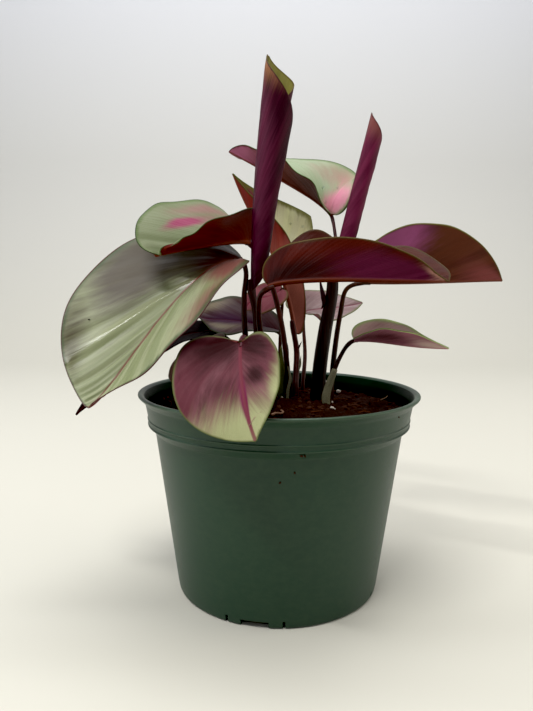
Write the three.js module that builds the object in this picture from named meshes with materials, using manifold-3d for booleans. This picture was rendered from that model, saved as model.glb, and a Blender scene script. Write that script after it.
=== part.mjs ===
// Potted silver plate calathea in its green nursery pot.
// Millimetres, +Z up. The origin is the middle of the pot's underside.
// The plant is seen from the front when looking along +Y.
import * as THREE from 'three';
import { mergeVertices } from 'three/addons/utils/BufferGeometryUtils.js';
import Module from 'manifold-3d';

const wasm = await Module();
wasm.setup();

// Pot
const potHeight = 108;
const lipRadius = 76;
const lipHeight = 5;
const bandTopRadius = 72.2;
const bandBottomRadius = 70.3;
const bandBottom = 91;
const wallTopRadius = 67;
const wallTop = 87.5;
const baseRadius = 55;
const potWall = 1.4;
const potFloor = 1.6;
const potSectors = 48;
const beadHeight = 0.5;
const drainCount = 4;
const drainAngle = -102.5;
const drainWidth = 13.5;
const drainTall = 4;
const slotWidth = 1.5;
const slotTall = 4.5;
const slotOffset = 9;

// Soil
const soilRim = 97.5;
const soilMound = 4.5;
const moundSpread = 30;
const moundX = 6;
const moundY = 12;
const soilLump = 0.9;
const clearance = 0.3;
const stemFoot = 82;

// Blades
const bladeThickness = 0.8;
const endHalfWidth = 0.8;
const usualTipPower = 1.9;
const ribDepth = 1.3;
const cellLength = 8;
const cellWidth = 7.5;
const soilHoleSides = 12;
const stemSides = 8;
const sliverLengths = [0.25, 0.2, 0.16, 0.12, 0.1, 0.08, 0.06, 0.04, 0.02, 0];

// Each leaf is a midrib (four Bezier points), the way the upper face looks at the base and at the tip,
// the two half widths, the angle at which each half is folded up at the base and at the tip, how far it
// then curls across, where each half is broadest, the waves of its margin, and the petiole's route up
// from its foot in the soil. A tipPower sets how full each half stays towards the tip, and a secondWave
// gives the second half waves of its own (height, count, start).
// The first half lies on the side of (midrib direction) x (facing), the second on the other side.
const leaves = [
  {
    name: 'leaf_left_large',
    midrib: [[-20, -8, 178], [-46, -24, 182], [-84, -31, 108], [-89, -54, 108]],
    facing: [[-0.3, -0.5, 0.8], [-0.4, -0.8, 0.4]],
    halfWidth: [49, 30],
    fold: [[0, 28], [15, 40]],
    curl: [[5, 29], [-10, -30]],
    lobe: [9, 1],
    broadest: [0.43, 0.43],
    wave: [1.0, 3.5],
    foot: [-13, 3],
    petiole: [[-18, 0, 133], [-19, -5, 158], [-18, -7, 172]],
    stemRadius: 1.7,
    colour: 0x8f9a78,
  },
  {
    name: 'leaf_left_upper',
    midrib: [[-17, 12, 188], [-25, 1, 190], [-75, -17, 177], [-59, -29, 179]],
    facing: [[-0.1, -0.1, 1.0], [0.1, -0.5, 0.8]],
    halfWidth: [34, 26],
    fold: [[50, 39], [59, 45]],
    curl: [[-14, -23], [-16, -27]],
    lobe: [6, 6],
    broadest: [0.41, 0.41],
    wave: [0.8, 4],
    foot: [6, 11],
    petiole: [[2, 7, 140], [-3, 9, 161], [-10, 12, 180]],
    stemRadius: 1.6,
    colour: 0x9aa286,
  },
  {
    name: 'leaf_rolled_tall',
    midrib: [[-14, -7, 162], [-15, -11, 195], [-12, -15, 239], [-7, -17, 277]],
    facing: [[1.0, -0.3, 0.0], [0.9, -0.3, 0.0]],
    rollRadius: [2.2, 9],
    turn: [290, 245],
    turnEnd: [3, 1.9],
    rollGap: 0.8,
    broadest: [0.5, 0.5],
    foot: [-7, 6],
    petiole: [[-11, 0, 130], [-12.5, -4, 150]],
    stemRadius: 2.6,
    colour: 0x4a2238,
  },
  {
    name: 'leaf_rolled_right',
    midrib: [[31, 9, 177], [36, 9, 202], [43, 9, 230], [49, 9, 257]],
    facing: [[1.0, -0.2, 0.0], [1.0, -0.2, -0.2]],
    rollRadius: [2.9, 3.5],
    turn: [290, 250],
    turnEnd: [4, 3],
    rollGap: 0.8,
    broadest: [0.5, 0.5],
    foot: [22.5, 11],
    petiole: [[23.5, 11, 120], [26, 10.5, 140], [29.5, 10, 162]],
    stemRadius: 4.1,
    colour: 0x46202f,
  },
  {
    name: 'leaf_back_top',
    midrib: [[31, 36, 206], [26, 48, 217], [-27, 44, 242], [-30, 46, 244]],
    facing: [[-0.1, -0.4, 0.9], [0.4, 0.3, 0.9]],
    halfWidth: [26, 17],
    fold: [[100, 2], [50, 39]],
    curl: [[-38, 20], [-21, -25]],
    lobe: [22, 0],
    broadest: [0.27, 0.39],
    tipPower: [2.1, 1.9],
    wave: [2.2, 3.4],
    secondWave: [1.5, 3.5, 2],
    foot: [24.5, 25],
    petiole: [[27, 26, 125], [31, 20, 150], [33, 20, 172], [33, 30, 192]],
    stemRadius: 1.3,
    colour: 0x95a080,
  },
  {
    name: 'leaf_front_folded',
    midrib: [[-6, -34, 164], [6, -37, 170], [67, -38, 166], [74, -58, 167]],
    facing: [[0.0, 0.3, 0.9], [-0.3, 0.1, 0.9]],
    halfWidth: [20, 34],
    fold: [[84, 66], [69, 34]],
    curl: [[25, -19], [8, -35]],
    lobe: [4, -8],
    broadest: [0.4, 0.35],
    tipPower: [1.9, 2.3],
    wave: [0.8, 4],
    secondWave: [5.5, 1.92, 5.42],
    foot: [-3, -3],
    petiole: [[-9, -11, 134], [-11, -21, 151], [-10, -28, 160]],
    stemRadius: 1.7,
    colour: 0x4a2430,
  },
  {
    name: 'leaf_right_folded',
    midrib: [[46, 10, 167], [74, 11, 166], [104, 4, 168], [124, 11, 168]],
    facing: [[0.0, -0.1, 1.0], [-0.1, -0.1, 1.0]],
    halfWidth: [34, 30],
    fold: [[68, 70], [72, 74]],
    curl: [[0, 0], [0, 0]],
    lobe: [4, 4],
    broadest: [0.4, 0.4],
    wave: [0.6, 4],
    foot: [30.5, 15],
    petiole: [[32, 17, 125], [35, 16, 149], [38, 13, 163]],
    stemRadius: 1.6,
    colour: 0x56302c,
  },
  {
    name: 'leaf_front_heart',
    midrib: [[-19, -49, 138], [-19, -63, 129], [-17, -81, 114], [-11, -94, 103]],
    facing: [[-0.3, -0.7, 0.6], [-0.5, -0.7, 0.5]],
    halfWidth: [32, 17],
    fold: [[17, -2], [0, -15]],
    curl: [[0, -22], [-21, -30]],
    lobe: [10, 10],
    broadest: [0.37, 0.37],
    wave: [0.7, 3],
    foot: [-4, -12],
    petiole: [[-8, -16, 120], [-14, -28, 134], [-18, -40, 140]],
    stemRadius: 1.5,
    colour: 0x7a5060,
  },
  {
    name: 'leaf_middle_purple',
    midrib: [[1, 32, 137], [-26, 25, 148], [-40, 28, 142], [-47, 20, 147]],
    facing: [[-0.1, -0.4, 0.9], [-0.2, -0.6, 0.8]],
    halfWidth: [20, 18],
    fold: [[19, 6], [30, -2]],
    curl: [[0, 0], [-6, -26]],
    lobe: [3, 3],
    broadest: [0.4, 0.4],
    wave: [0.6, 3],
    foot: [4, 21],
    petiole: [[5, 24, 118], [4.5, 28, 130]],
    stemRadius: 1.4,
    colour: 0x60404c,
  },
  {
    name: 'leaf_low_left',
    midrib: [[-29, -9, 136], [-51, -16, 125], [-45, -24, 117], [-50, -28, 111]],
    facing: [[-0.3, -0.5, 0.8], [-0.1, -0.5, 0.9]],
    halfWidth: [14, 15],
    fold: [[-4, -1], [-20, -20]],
    curl: [[-13, -9], [-20, -20]],
    lobe: [4, 4],
    broadest: [0.4, 0.4],
    wave: [0.5, 3],
    foot: [-13, 13],
    petiole: [[-16, 8, 118], [-22, 0, 131]],
    stemRadius: 1.4,
    colour: 0x5c3436,
  },
  {
    name: 'leaf_back_upright',
    midrib: [[10, 30, 136], [2, 29, 187], [-14, 39, 194], [-27, 27, 228]],
    facing: [[0.4, 0.5, 0.8], [0.9, 0.1, 0.4]],
    halfWidth: [32, 12.5],
    fold: [[41, 105], [64, 45]],
    curl: [[4, 50], [-2, -3]],
    lobe: [-3, 3],
    broadest: [0.54, 0.5],
    tipPower: [1.0, 1.9],
    wave: [0.9, 4],
    foot: [10, 18],
    petiole: [[10.5, 22, 112], [11, 28, 126]],
    stemRadius: 2,
    colour: 0x8f9a78,
  },
  {
    name: 'leaf_back_small',
    midrib: [[16, 52, 147], [17, 59, 151], [40, 61, 149], [55, 65, 154]],
    facing: [[0.0, -0.5, 0.9], [0.1, -0.5, 0.9]],
    halfWidth: [14, 17],
    fold: [[7, -2], [22, 17]],
    curl: [[-6, -10], [-8, -9]],
    lobe: [3, 3],
    broadest: [0.4, 0.4],
    wave: [0.5, 3],
    foot: [15, 30],
    petiole: [[16.5, 37, 122], [16, 47, 139]],
    stemRadius: 1.3,
    colour: 0x8a7a72,
  },
  {
    name: 'leaf_right_small',
    midrib: [[41, 4, 135], [57, 4, 136], [65, -6, 132], [90, -9, 132]],
    facing: [[0.0, -0.3, 0.9], [0.0, -0.1, 1.0]],
    halfWidth: [16, 15],
    fold: [[32, 56], [33, 37]],
    curl: [[0, 0], [0, 0]],
    lobe: [2, 2],
    broadest: [0.4, 0.4],
    wave: [0.4, 3],
    foot: [28.5, 3.5],
    petiole: [[31, 5, 118], [35, 6, 127], [38, 5, 132]],
    stemRadius: 1.4,
    colour: 0x6a4a50,
  },
  {
    name: 'leaf_left_hidden',
    midrib: [[-39, 21, 138], [-70, 16, 138], [-94, -1, 112], [-109, -10, 95]],
    facing: [[-0.5, -0.6, 0.7], [-0.3, -0.6, 0.7]],
    halfWidth: [16, 12],
    fold: [[0, 0], [17, 10]],
    curl: [[-10, -10], [3, -6]],
    lobe: [5, 5],
    broadest: [0.4, 0.4],
    tipPower: [1.2, 1.5],
    wave: [0.6, 4],
    foot: [-14, 22],
    petiole: [[-19, 22, 118], [-30, 22, 134]],
    stemRadius: 1.4,
    colour: 0x4c2a2c,
  },
  {
    name: 'leaf_middle_small',
    midrib: [[2, 20, 163], [-7, 22, 154], [-16, 24, 161], [-20, 26, 149]],
    facing: [[-0.2, -0.5, 0.8], [-0.2, -0.6, 0.7]],
    halfWidth: [11, 13],
    fold: [[8, 12], [1, 0]],
    curl: [[0, 0], [-9, -10]],
    lobe: [3, 3],
    broadest: [0.4, 0.4],
    wave: [0.4, 3],
    foot: [0.5, 15],
    petiole: [[1, 16, 137], [2, 18, 154]],
    stemRadius: 1.1,
    colour: 0x7c7a70,
  },
];

const vector = (point) => new THREE.Vector3(...point);
const mix = (pair, t) => THREE.MathUtils.lerp(pair[0], pair[1], t);

// Half width of a blade along its midrib, 0 at both ends and 1 where it is broadest.
function outline(t, broadest, tipPower) {
  if (t < broadest) {
    return Math.sqrt(Math.max(0, 1 - (1 - t / broadest) ** 2.2));
  }
  const beyond = (t - broadest) / (1 - broadest);
  return Math.max(0, 1 - beyond ** tipPower) ** 1.05;
}

// How far back a margin point near the base reaches, from 0 to 1: the rounded lobes of the base.
function lobeReach(t) {
  return t < 0.5 ? Math.sin(Math.PI * (t / 0.5) ** 0.45) : 0;
}

// A point of the midrib with the directions along it, out of the face and to the first half.
function midribFrame(leaf, curve, t) {
  const along = curve.getTangent(Math.max(0, t));
  const point = curve.getPoint(Math.max(0, t));
  const up = vector(leaf.facing[0]).normalize().lerp(vector(leaf.facing[1]).normalize(), Math.max(0, t));
  up.addScaledVector(along, -up.dot(along)).normalize();
  const aside = new THREE.Vector3().crossVectors(along, up);
  return { point, along, up, aside };
}

// Surface point of an open or folded blade. across runs from -1 (second margin) to 1 (first margin).
function openBladePoint(leaf, curve, length, t, across) {
  const half = across >= 0 ? 0 : 1;
  const side = across >= 0 ? 1 : -1;
  const out = Math.abs(across);
  const behind = t - out * out * (leaf.lobe[half] / length) * lobeReach(t);
  const { point, along, up, aside } = midribFrame(leaf, curve, behind);
  if (behind < 0) {
    point.addScaledVector(along, behind * length);
  }
  const tipPower = leaf.tipPower ? leaf.tipPower[half] : usualTipPower;
  const distance = out * (leaf.halfWidth[half] * outline(t, leaf.broadest[half], tipPower) + endHalfWidth);
  const fold = THREE.MathUtils.degToRad(mix(leaf.fold[half], t));
  const bend = THREE.MathUtils.degToRad(mix(leaf.curl[half], t)) / leaf.halfWidth[half];
  const middle = fold + bend * distance / 2;
  const end = fold + bend * distance;
  point.addScaledVector(aside, side * distance * Math.cos(middle));
  point.addScaledVector(up, distance * Math.sin(middle));
  const ownWave = half === 1 && leaf.secondWave ? leaf.secondWave : [...leaf.wave, half * 2];
  const [height, count, start] = ownWave;
  const wave = height * out * out * Math.sin(2 * Math.PI * count * t + start) * Math.sin(Math.PI * t);
  point.addScaledVector(aside, -side * Math.sin(end) * wave);
  point.addScaledVector(up, Math.cos(end) * wave);
  return point;
}

// Surface point of a blade that is still rolled: each half is wound around, one inside the other.
function rolledBladePoint(leaf, curve, length, t, across) {
  const half = across >= 0 ? 0 : 1;
  const side = across >= 0 ? 1 : -1;
  const { point, up, aside } = midribFrame(leaf, curve, t);
  const gap = half === 0 ? -leaf.rollGap : leaf.rollGap;
  const radius = mix(leaf.rollRadius, t) + gap;
  const reach = leaf.turn[half] * outline(t, leaf.broadest[half], leaf.turnEnd[half]) + 8;
  const angle = THREE.MathUtils.degToRad(Math.abs(across) * reach);
  point.addScaledVector(aside, side * radius * Math.sin(angle));
  point.addScaledVector(up, radius * (1 - Math.cos(angle)));
  return point;
}

// Rows lie closer together towards both ends, where the margin turns.
function station(u) {
  return 0.4 * u + 0.3 * (1 - Math.cos(Math.PI * u));
}

// A closed sheet: the same grid twice, half a thickness to each side, with a rib under the midrib.
function bladeGeometry(leaf) {
  const curve = new THREE.CubicBezierCurve3(...leaf.midrib.map(vector));
  const length = curve.getLength();
  const rolled = Boolean(leaf.rollRadius);
  const surface = rolled ? rolledBladePoint : openBladePoint;
  const rows = THREE.MathUtils.clamp(Math.round(length / cellLength) + 2, 7, 16);
  const columns = rolled ? 7
    : THREE.MathUtils.clamp(Math.round(Math.max(...leaf.halfWidth) / cellWidth), 2, 6);
  const positions = [];
  const width = 2 * columns + 1;
  const layer = (rows + 1) * width;
  const step = 0.004;
  for (const face of [1, -1]) {
    for (let i = 0; i <= rows; i++) {
      for (let j = -columns; j <= columns; j++) {
        const t = station(i / rows);
        const across = j / columns;
        const point = surface(leaf, curve, length, t, across);
        const normal = surfaceNormal(surface, leaf, curve, length, t, across, step);
        const rib = face < 0 && j === 0 ? ribDepth * (1 - 0.8 * t) : 0;
        point.addScaledVector(normal, face * (bladeThickness / 2 + rib));
        positions.push(point.x, point.y, point.z);
      }
    }
  }
  const index = [];
  const quad = (a, b, c, d) => index.push(a, b, c, a, c, d);
  for (let i = 0; i < rows; i++) {
    for (let j = 0; j < width - 1; j++) {
      const a = i * width + j;
      quad(a, a + 1, a + width + 1, a + width);
      index.push(layer + a, layer + a + width + 1, layer + a + 1);
      index.push(layer + a, layer + a + width, layer + a + width + 1);
    }
    const near = i * width;
    const far = near + width - 1;
    quad(near, near + width, layer + near + width, layer + near);
    quad(far, layer + far, layer + far + width, far + width);
  }
  for (let j = 0; j < width - 1; j++) {
    const last = rows * width + j;
    quad(j, layer + j, layer + j + 1, j + 1);
    quad(last, last + 1, layer + last + 1, layer + last);
  }
  const geometry = new THREE.BufferGeometry();
  geometry.setAttribute('position', new THREE.Float32BufferAttribute(positions, 3));
  geometry.setIndex(index);
  return geometry;
}

// Direction out of the upper face, from neighbouring surface points on the same half.
function surfaceNormal(surface, leaf, curve, length, t, across, step) {
  const before = Math.max(0, t - step);
  const after = Math.min(1, t + step);
  const along = surface(leaf, curve, length, after, across).sub(surface(leaf, curve, length, before, across));
  const left = surface(leaf, curve, length, t, Math.max(-1, across - step));
  const right = surface(leaf, curve, length, t, Math.min(1, across + step));
  return new THREE.Vector3().crossVectors(right.sub(left), along).normalize();
}

// The petiole: straight in its hole, then along its route and into the base of the blade, thinner there.
function petioleGeometry(leaf) {
  const blade = new THREE.CubicBezierCurve3(...leaf.midrib.map(vector));
  const [x, y] = leaf.foot;
  const start = midribFrame(leaf, blade, 0);
  const joint = start.point.clone().addScaledVector(start.up, -leaf.stemRadius * 0.4);
  const inside = midribFrame(leaf, blade, 0.06);
  const end = inside.point.clone().addScaledVector(inside.up, -leaf.stemRadius * 0.35);
  const route = [[x, y, stemFoot], [x, y, stemFoot + 12], [x, y, soilRim + 8], ...leaf.petiole].map(vector);
  const curve = new THREE.CatmullRomCurve3([...route, joint, end], false, 'centripetal');
  const steps = Math.round(curve.getLength() / 7);
  const frames = curve.computeFrenetFrames(steps, false);
  const positions = [];
  const index = [];
  for (let i = 0; i <= steps; i++) {
    const t = i / steps;
    const centre = curve.getPointAt(t);
    const radius = leaf.stemRadius * (1 - 0.35 * t ** 3);
    for (let k = 0; k < stemSides; k++) {
      const angle = (2 * Math.PI * k) / stemSides;
      const spoke = frames.normals[i].clone().multiplyScalar(Math.cos(angle) * radius);
      spoke.addScaledVector(frames.binormals[i], Math.sin(angle) * radius);
      positions.push(centre.x + spoke.x, centre.y + spoke.y, centre.z + spoke.z);
    }
  }
  for (let i = 0; i < steps; i++) {
    for (let k = 0; k < stemSides; k++) {
      const a = i * stemSides + k;
      const b = i * stemSides + ((k + 1) % stemSides);
      index.push(a, b, b + stemSides, a, b + stemSides, a + stemSides);
    }
  }
  for (let k = 1; k < stemSides - 1; k++) {
    const last = steps * stemSides;
    index.push(0, k + 1, k);
    index.push(last, last + k, last + k + 1);
  }
  const geometry = new THREE.BufferGeometry();
  geometry.setAttribute('position', new THREE.Float32BufferAttribute(positions, 3));
  geometry.setIndex(index);
  return geometry;
}

// Solid for joining and cutting, from a closed geometry.
function solid(geometry) {
  const bare = geometry.clone();
  bare.deleteAttribute('normal');
  bare.deleteAttribute('uv');
  const merged = mergeVertices(bare, 1e-4);
  return new wasm.Manifold(new wasm.Mesh({
    numProp: 3,
    vertProperties: new Float32Array(merged.attributes.position.array),
    triVerts: new Uint32Array(merged.index.array),
  }));
}

// The same surface with every edge shorter than a length drawn together into one point.
function shortEdgesClosed(mesh, length) {
  const points = mesh.vertProperties;
  const parent = Array.from({ length: points.length / 3 }, (_, k) => k);
  const root = (k) => (parent[k] === k ? k : (parent[k] = root(parent[k])));
  const triangles = mesh.triVerts;
  for (let k = 0; k < triangles.length; k++) {
    const a = triangles[k];
    const b = triangles[k % 3 === 2 ? k - 2 : k + 1];
    const gap = Math.hypot(...[0, 1, 2].map((axis) => points[3 * a + axis] - points[3 * b + axis]));
    if (gap < length) {
      parent[root(Math.max(a, b))] = root(Math.min(a, b));
    }
  }
  const kept = [];
  for (let k = 0; k < triangles.length; k += 3) {
    const corners = [0, 1, 2].map((corner) => root(triangles[k + corner]));
    if (new Set(corners).size === 3) {
      kept.push(...corners);
    }
  }
  const geometry = new THREE.BufferGeometry();
  geometry.setAttribute('position', new THREE.Float32BufferAttribute(points, 3));
  geometry.setIndex(kept);
  return geometry;
}

// Geometry of a joined or cut solid, without the slivers and pinholes that a cut or join leaves.
function geometryOf(body) {
  const shells = body.decompose().sort((a, b) => b.volume() - a.volume());
  const mesh = shells[0].getMesh();
  for (const length of sliverLengths) {
    const geometry = shortEdgesClosed(mesh, length);
    const closed = isClosed(geometry);
    if (closed || length === 0) {
      geometry.computeVertexNormals();
      return geometry;
    }
  }
}

// Whether a geometry is one closed surface: every edge runs once each way.
function isClosed(geometry) {
  const seen = new Set();
  const index = geometry.index.array;
  for (let k = 0; k < index.length; k++) {
    const edge = `${index[k]},${index[k % 3 === 2 ? k - 2 : k + 1]}`;
    if (seen.has(edge)) {
      return false;
    }
    seen.add(edge);
  }
  return [...seen].every((edge) => seen.has(edge.split(',').reverse().join(',')));
}

function named(name, geometry, colour, roughness) {
  const material = new THREE.MeshStandardMaterial({ color: colour, roughness, metalness: 0 });
  const mesh = new THREE.Mesh(geometry, material);
  mesh.name = name;
  return mesh;
}

// Vertical cylinder standing on a height.
function upright(radius, bottom, top, sides, x, y) {
  const cylinder = new THREE.CylinderGeometry(radius, radius, top - bottom, sides);
  cylinder.rotateX(Math.PI / 2);
  cylinder.translate(x, y, (bottom + top) / 2);
  return cylinder;
}

// Box that cuts through the corner of wall and floor, at an angle around the pot.
function footCutter(width, tall, angle, offset) {
  const depth = 9;
  const box = new THREE.BoxGeometry(depth, width, tall);
  box.translate(baseRadius, offset, tall / 2 - 0.001);
  box.rotateZ(THREE.MathUtils.degToRad(angle));
  return box;
}

// Radius of the pot's outside on its straight taper.
function wallRadius(z) {
  return THREE.MathUtils.lerp(baseRadius, wallTopRadius, z / wallTop);
}

function pot() {
  const lipBottom = potHeight - lipHeight;
  const innerLip = lipRadius - 3.5;
  const outside = [
    [0, 0],
    [baseRadius - 1, 0],
    [baseRadius, 1],
    [wallTopRadius, wallTop],
    [bandBottomRadius, bandBottom],
    [bandBottomRadius + 0.4, bandBottom + beadHeight],
    [bandBottomRadius + 0.1, bandBottom + 3 * beadHeight],
    [bandTopRadius, lipBottom],
    [lipRadius - 1, lipBottom],
    [lipRadius, lipBottom + 1.5],
    [lipRadius, potHeight - 2],
    [lipRadius - 1, potHeight - 0.4],
    [lipRadius - 2, potHeight],
    [innerLip, potHeight - 1],
  ];
  const inside = [
    [bandTopRadius - potWall, lipBottom],
    [bandBottomRadius - potWall, bandBottom],
    [wallTopRadius - potWall, wallTop],
    [wallRadius(potFloor) - potWall, potFloor],
    [0, potFloor],
  ];
  const profile = [...outside, ...inside].map(([radius, z]) => new THREE.Vector2(radius, z));
  const lathe = new THREE.LatheGeometry(profile, potSectors);
  lathe.rotateX(Math.PI / 2);
  let body = solid(lathe);
  for (let k = 0; k < drainCount; k++) {
    const angle = drainAngle + (360 / drainCount) * k;
    body = body.subtract(solid(footCutter(drainWidth, drainTall, angle, 0)));
    for (const offset of [-slotOffset, slotOffset]) {
      body = body.subtract(solid(footCutter(slotWidth, slotTall, angle, offset)));
    }
  }
  return named('pot', geometryOf(body), 0x22352a, 0.5);
}

// Height of the soil: a low mound around the stems, with lumps.
function soilHeight(x, y) {
  const distance = Math.hypot(x - moundX, y - moundY);
  const mound = soilMound * Math.exp(-((distance / moundSpread) ** 2));
  const lump = Math.sin(x * 0.31 + 1) * Math.cos(y * 0.37) + 0.6 * Math.sin(x * 0.7 - y * 0.53);
  return soilRim + mound + soilLump * lump;
}

function soil() {
  const rings = 9;
  const sectors = potSectors;
  const bottom = potFloor + clearance;
  const positions = [0, 0, soilHeight(0, 0)];
  const index = [];
  const outerRadius = (z) => {
    const straight = wallRadius(z) - potWall - clearance;
    const band = THREE.MathUtils.mapLinear(z, bandBottom, potHeight - lipHeight, bandBottomRadius, bandTopRadius);
    return z > bandBottom ? band - potWall - clearance : straight;
  };
  const edge = outerRadius(soilRim);
  const ring = (radius, height) => {
    const first = positions.length / 3;
    for (let k = 0; k < sectors; k++) {
      const angle = (2 * Math.PI * k) / sectors;
      const x = radius * Math.cos(angle);
      const y = radius * Math.sin(angle);
      positions.push(x, y, height === undefined ? soilHeight(x, y) : height);
    }
    return first;
  };
  const join = (inner, outer) => {
    for (let k = 0; k < sectors; k++) {
      const next = (k + 1) % sectors;
      index.push(inner + k, outer + k, outer + next, inner + k, outer + next, inner + next);
    }
  };
  let previous = ring(edge / rings);
  for (let k = 0; k < sectors; k++) {
    index.push(0, previous + k, previous + ((k + 1) % sectors));
  }
  for (let r = 2; r <= rings; r++) {
    const next = ring((edge * r) / rings - (r === rings ? 0.4 : 0));
    join(previous, next);
    previous = next;
  }
  const levels = [
    [outerRadius(bandBottom + 0.1), bandBottom],
    [wallTopRadius - potWall - clearance - 0.3, wallTop],
    [wallRadius(bottom) - potWall - clearance, bottom],
  ];
  for (const [radius, height] of levels) {
    const next = ring(radius, height);
    join(previous, next);
    previous = next;
  }
  const middle = positions.length / 3;
  positions.push(0, 0, bottom);
  for (let k = 0; k < sectors; k++) {
    index.push(middle, previous + ((k + 1) % sectors), previous + k);
  }
  const geometry = new THREE.BufferGeometry();
  geometry.setAttribute('position', new THREE.Float32BufferAttribute(positions, 3));
  geometry.setIndex(index);
  let body = solid(geometry);
  for (const leaf of leaves) {
    const hole = upright(leaf.stemRadius + 2 * clearance, stemFoot - clearance, potHeight + 10,
      soilHoleSides, ...leaf.foot);
    body = body.subtract(solid(hole));
  }
  return named('soil', geometryOf(body), 0x2a211b, 0.95);
}

// Blade and petiole grown together.
function leafMesh(leaf) {
  const joined = solid(petioleGeometry(leaf)).add(solid(bladeGeometry(leaf)));
  return named(leaf.name, geometryOf(joined), leaf.colour, 0.45);
}

const plant = new THREE.Group();
plant.add(pot(), soil());
for (const leaf of leaves) {
  plant.add(leafMesh(leaf));
}

export default plant;
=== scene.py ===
# %% [markdown]
# # A potted silver plate calathea
#
# A young prayer plant in a green nursery pot. Fifteen blades stand on thin stalks: some lie open and show
# their silvery face, some are folded along the midrib and show the wine-red underside, and two are still
# rolled up into spears. This file dresses the plain solids of the imported model as that plant.
# Each step says what the piece or finish is on the real plant, how it could be made, and why it is made
# this way.

# %% Load the imported model and keep its parts in place
import math
import random

import bmesh
import bpy
import numpy as np
from mathutils import Matrix, Vector, noise


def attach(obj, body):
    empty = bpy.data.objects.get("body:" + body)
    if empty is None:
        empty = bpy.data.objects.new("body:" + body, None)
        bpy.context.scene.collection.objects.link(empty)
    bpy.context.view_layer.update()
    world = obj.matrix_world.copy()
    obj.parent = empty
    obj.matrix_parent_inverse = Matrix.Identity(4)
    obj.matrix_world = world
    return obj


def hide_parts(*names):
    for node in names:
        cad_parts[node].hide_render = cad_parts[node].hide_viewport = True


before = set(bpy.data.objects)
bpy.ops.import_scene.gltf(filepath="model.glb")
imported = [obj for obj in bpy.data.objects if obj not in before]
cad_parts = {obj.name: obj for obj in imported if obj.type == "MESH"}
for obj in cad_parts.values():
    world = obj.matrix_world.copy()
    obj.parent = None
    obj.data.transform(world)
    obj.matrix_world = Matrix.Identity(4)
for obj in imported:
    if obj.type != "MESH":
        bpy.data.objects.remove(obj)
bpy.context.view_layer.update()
MM = 0.001
print("nodes of the packed model:", len(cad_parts))

# %% [markdown]
# ## Colours and nodes
#
# Paint charts and photographs give colours in sRGB, but Blender reckons light in linear values. One function
# does the change, so every colour below can be read as an ordinary hex value. A second one adds a shader node
# with its settings and its links, so that each material reads as a list of what is laid over what.

# %% Colour and node helpers
def colour(hex_text):
    """Turn an sRGB hex value into the linear colour that a shader socket takes."""
    channels = [int(hex_text[k:k + 2], 16) / 255 for k in (1, 3, 5)]
    linear = [c / 12.92 if c <= 0.04045 else ((c + 0.055) / 1.055) ** 2.4 for c in channels]
    return (*linear, 1.0)


def add(tree, kind, inputs=None, **settings):
    """Add one node. inputs gives its sockets a value or another node's output."""
    node = tree.nodes.new(kind)
    for name, value in settings.items():
        setattr(node, name, value)
    for socket, value in (inputs or {}).items():
        if isinstance(value, bpy.types.NodeSocket):
            tree.links.new(value, node.inputs[socket])
        else:
            node.inputs[socket].default_value = value
    return node


def new_material(name):
    """Start an empty node material and return it with its tree."""
    material = bpy.data.materials.new(name)
    material.use_nodes = True
    material.node_tree.nodes.clear()
    return material, material.node_tree


print("middle grey in linear light:", round(colour("#777777")[0], 3))

# %% [markdown]
# ## The camera
#
# The photograph was taken from just above the pot's height, a third of a metre away, looking slightly down.
# The place, the tilt and the lens were found by matching the pot's rim, band and foot to their real sizes.

# %% Camera
camera_place = Vector((-6.86, -333.63, 164.99)) * MM
camera_pitch = 0.1147
camera_roll = 0.0065
picture_height = 711
focal_pixels = 614.05

camera_data = bpy.data.cameras.new("camera")
camera = bpy.data.objects.new("camera", camera_data)
bpy.context.scene.collection.objects.link(camera)
bpy.context.scene.camera = camera
camera_data.sensor_width = 36
camera_data.lens = focal_pixels * camera_data.sensor_width / picture_height
camera_data.clip_start = 0.02
tilt = Matrix.Rotation(math.pi / 2 - camera_pitch, 4, "X") @ Matrix.Rotation(camera_roll, 4, "Z")
camera.matrix_world = Matrix.Translation(camera_place) @ tilt
# The photograph is printed with plain sRGB tones and deep blacks.
view = bpy.context.scene.view_settings
view.view_transform = "Standard"
view.use_curve_mapping = True
view.curve_mapping.black_level = (0.006, 0.006, 0.006)
view.curve_mapping.update()
print("lens in mm:", round(camera_data.lens, 2))

# %% [markdown]
# ## Floor, backdrop and light
#
# The plant stands on a pale table before a pale wall. One sheet that curves up behind it does for both, as in
# a studio, so no corner shows. The light is soft: a large panel above, a weaker one at each side, one that
# brightens the wall, and a faint fill from all round. A narrow strip high in front is the bright window whose
# reflection makes the wet-looking streak on the open leaf. The sheet is painted matt white with the fine nap
# that a roller leaves. Its tone runs from warmer and darker on the floor to cooler and lighter up the wall,
# partly the table's and the wall's own tones and partly painted light.

# %% Mesh helper
def mesh_object(name, vertices, faces, smooth=True):
    """Make an object of points in millimetres and faces."""
    mesh = bpy.data.meshes.new(name)
    mesh.from_pydata([tuple(v) for v in np.asarray(vertices, float) * MM], [], faces)
    mesh.validate()
    mesh.polygons.foreach_set("use_smooth", [smooth] * len(mesh.polygons))
    made = bpy.data.objects.new(name, mesh)
    bpy.context.scene.collection.objects.link(made)
    return made


# %% Backdrop sheet
def backdrop():
    """A floor that runs back and curves up into a wall."""
    floor_back, bend_radius, wall_top, half_width = 900, 500, 2600, 3000
    profile = [(-1500, 0), (0, 0), (floor_back, 0)]
    for step in range(1, 13):
        turn = math.pi / 2 * step / 12
        profile.append((floor_back + bend_radius * math.sin(turn), bend_radius * (1 - math.cos(turn))))
    profile.append((floor_back + bend_radius, wall_top))
    points = [(x, y, z) for y, z in profile for x in (-half_width, half_width)]
    faces = [(2 * k, 2 * k + 1, 2 * k + 3, 2 * k + 2) for k in range(len(profile) - 1)]
    return mesh_object("studio_sheet", points, faces)


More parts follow.
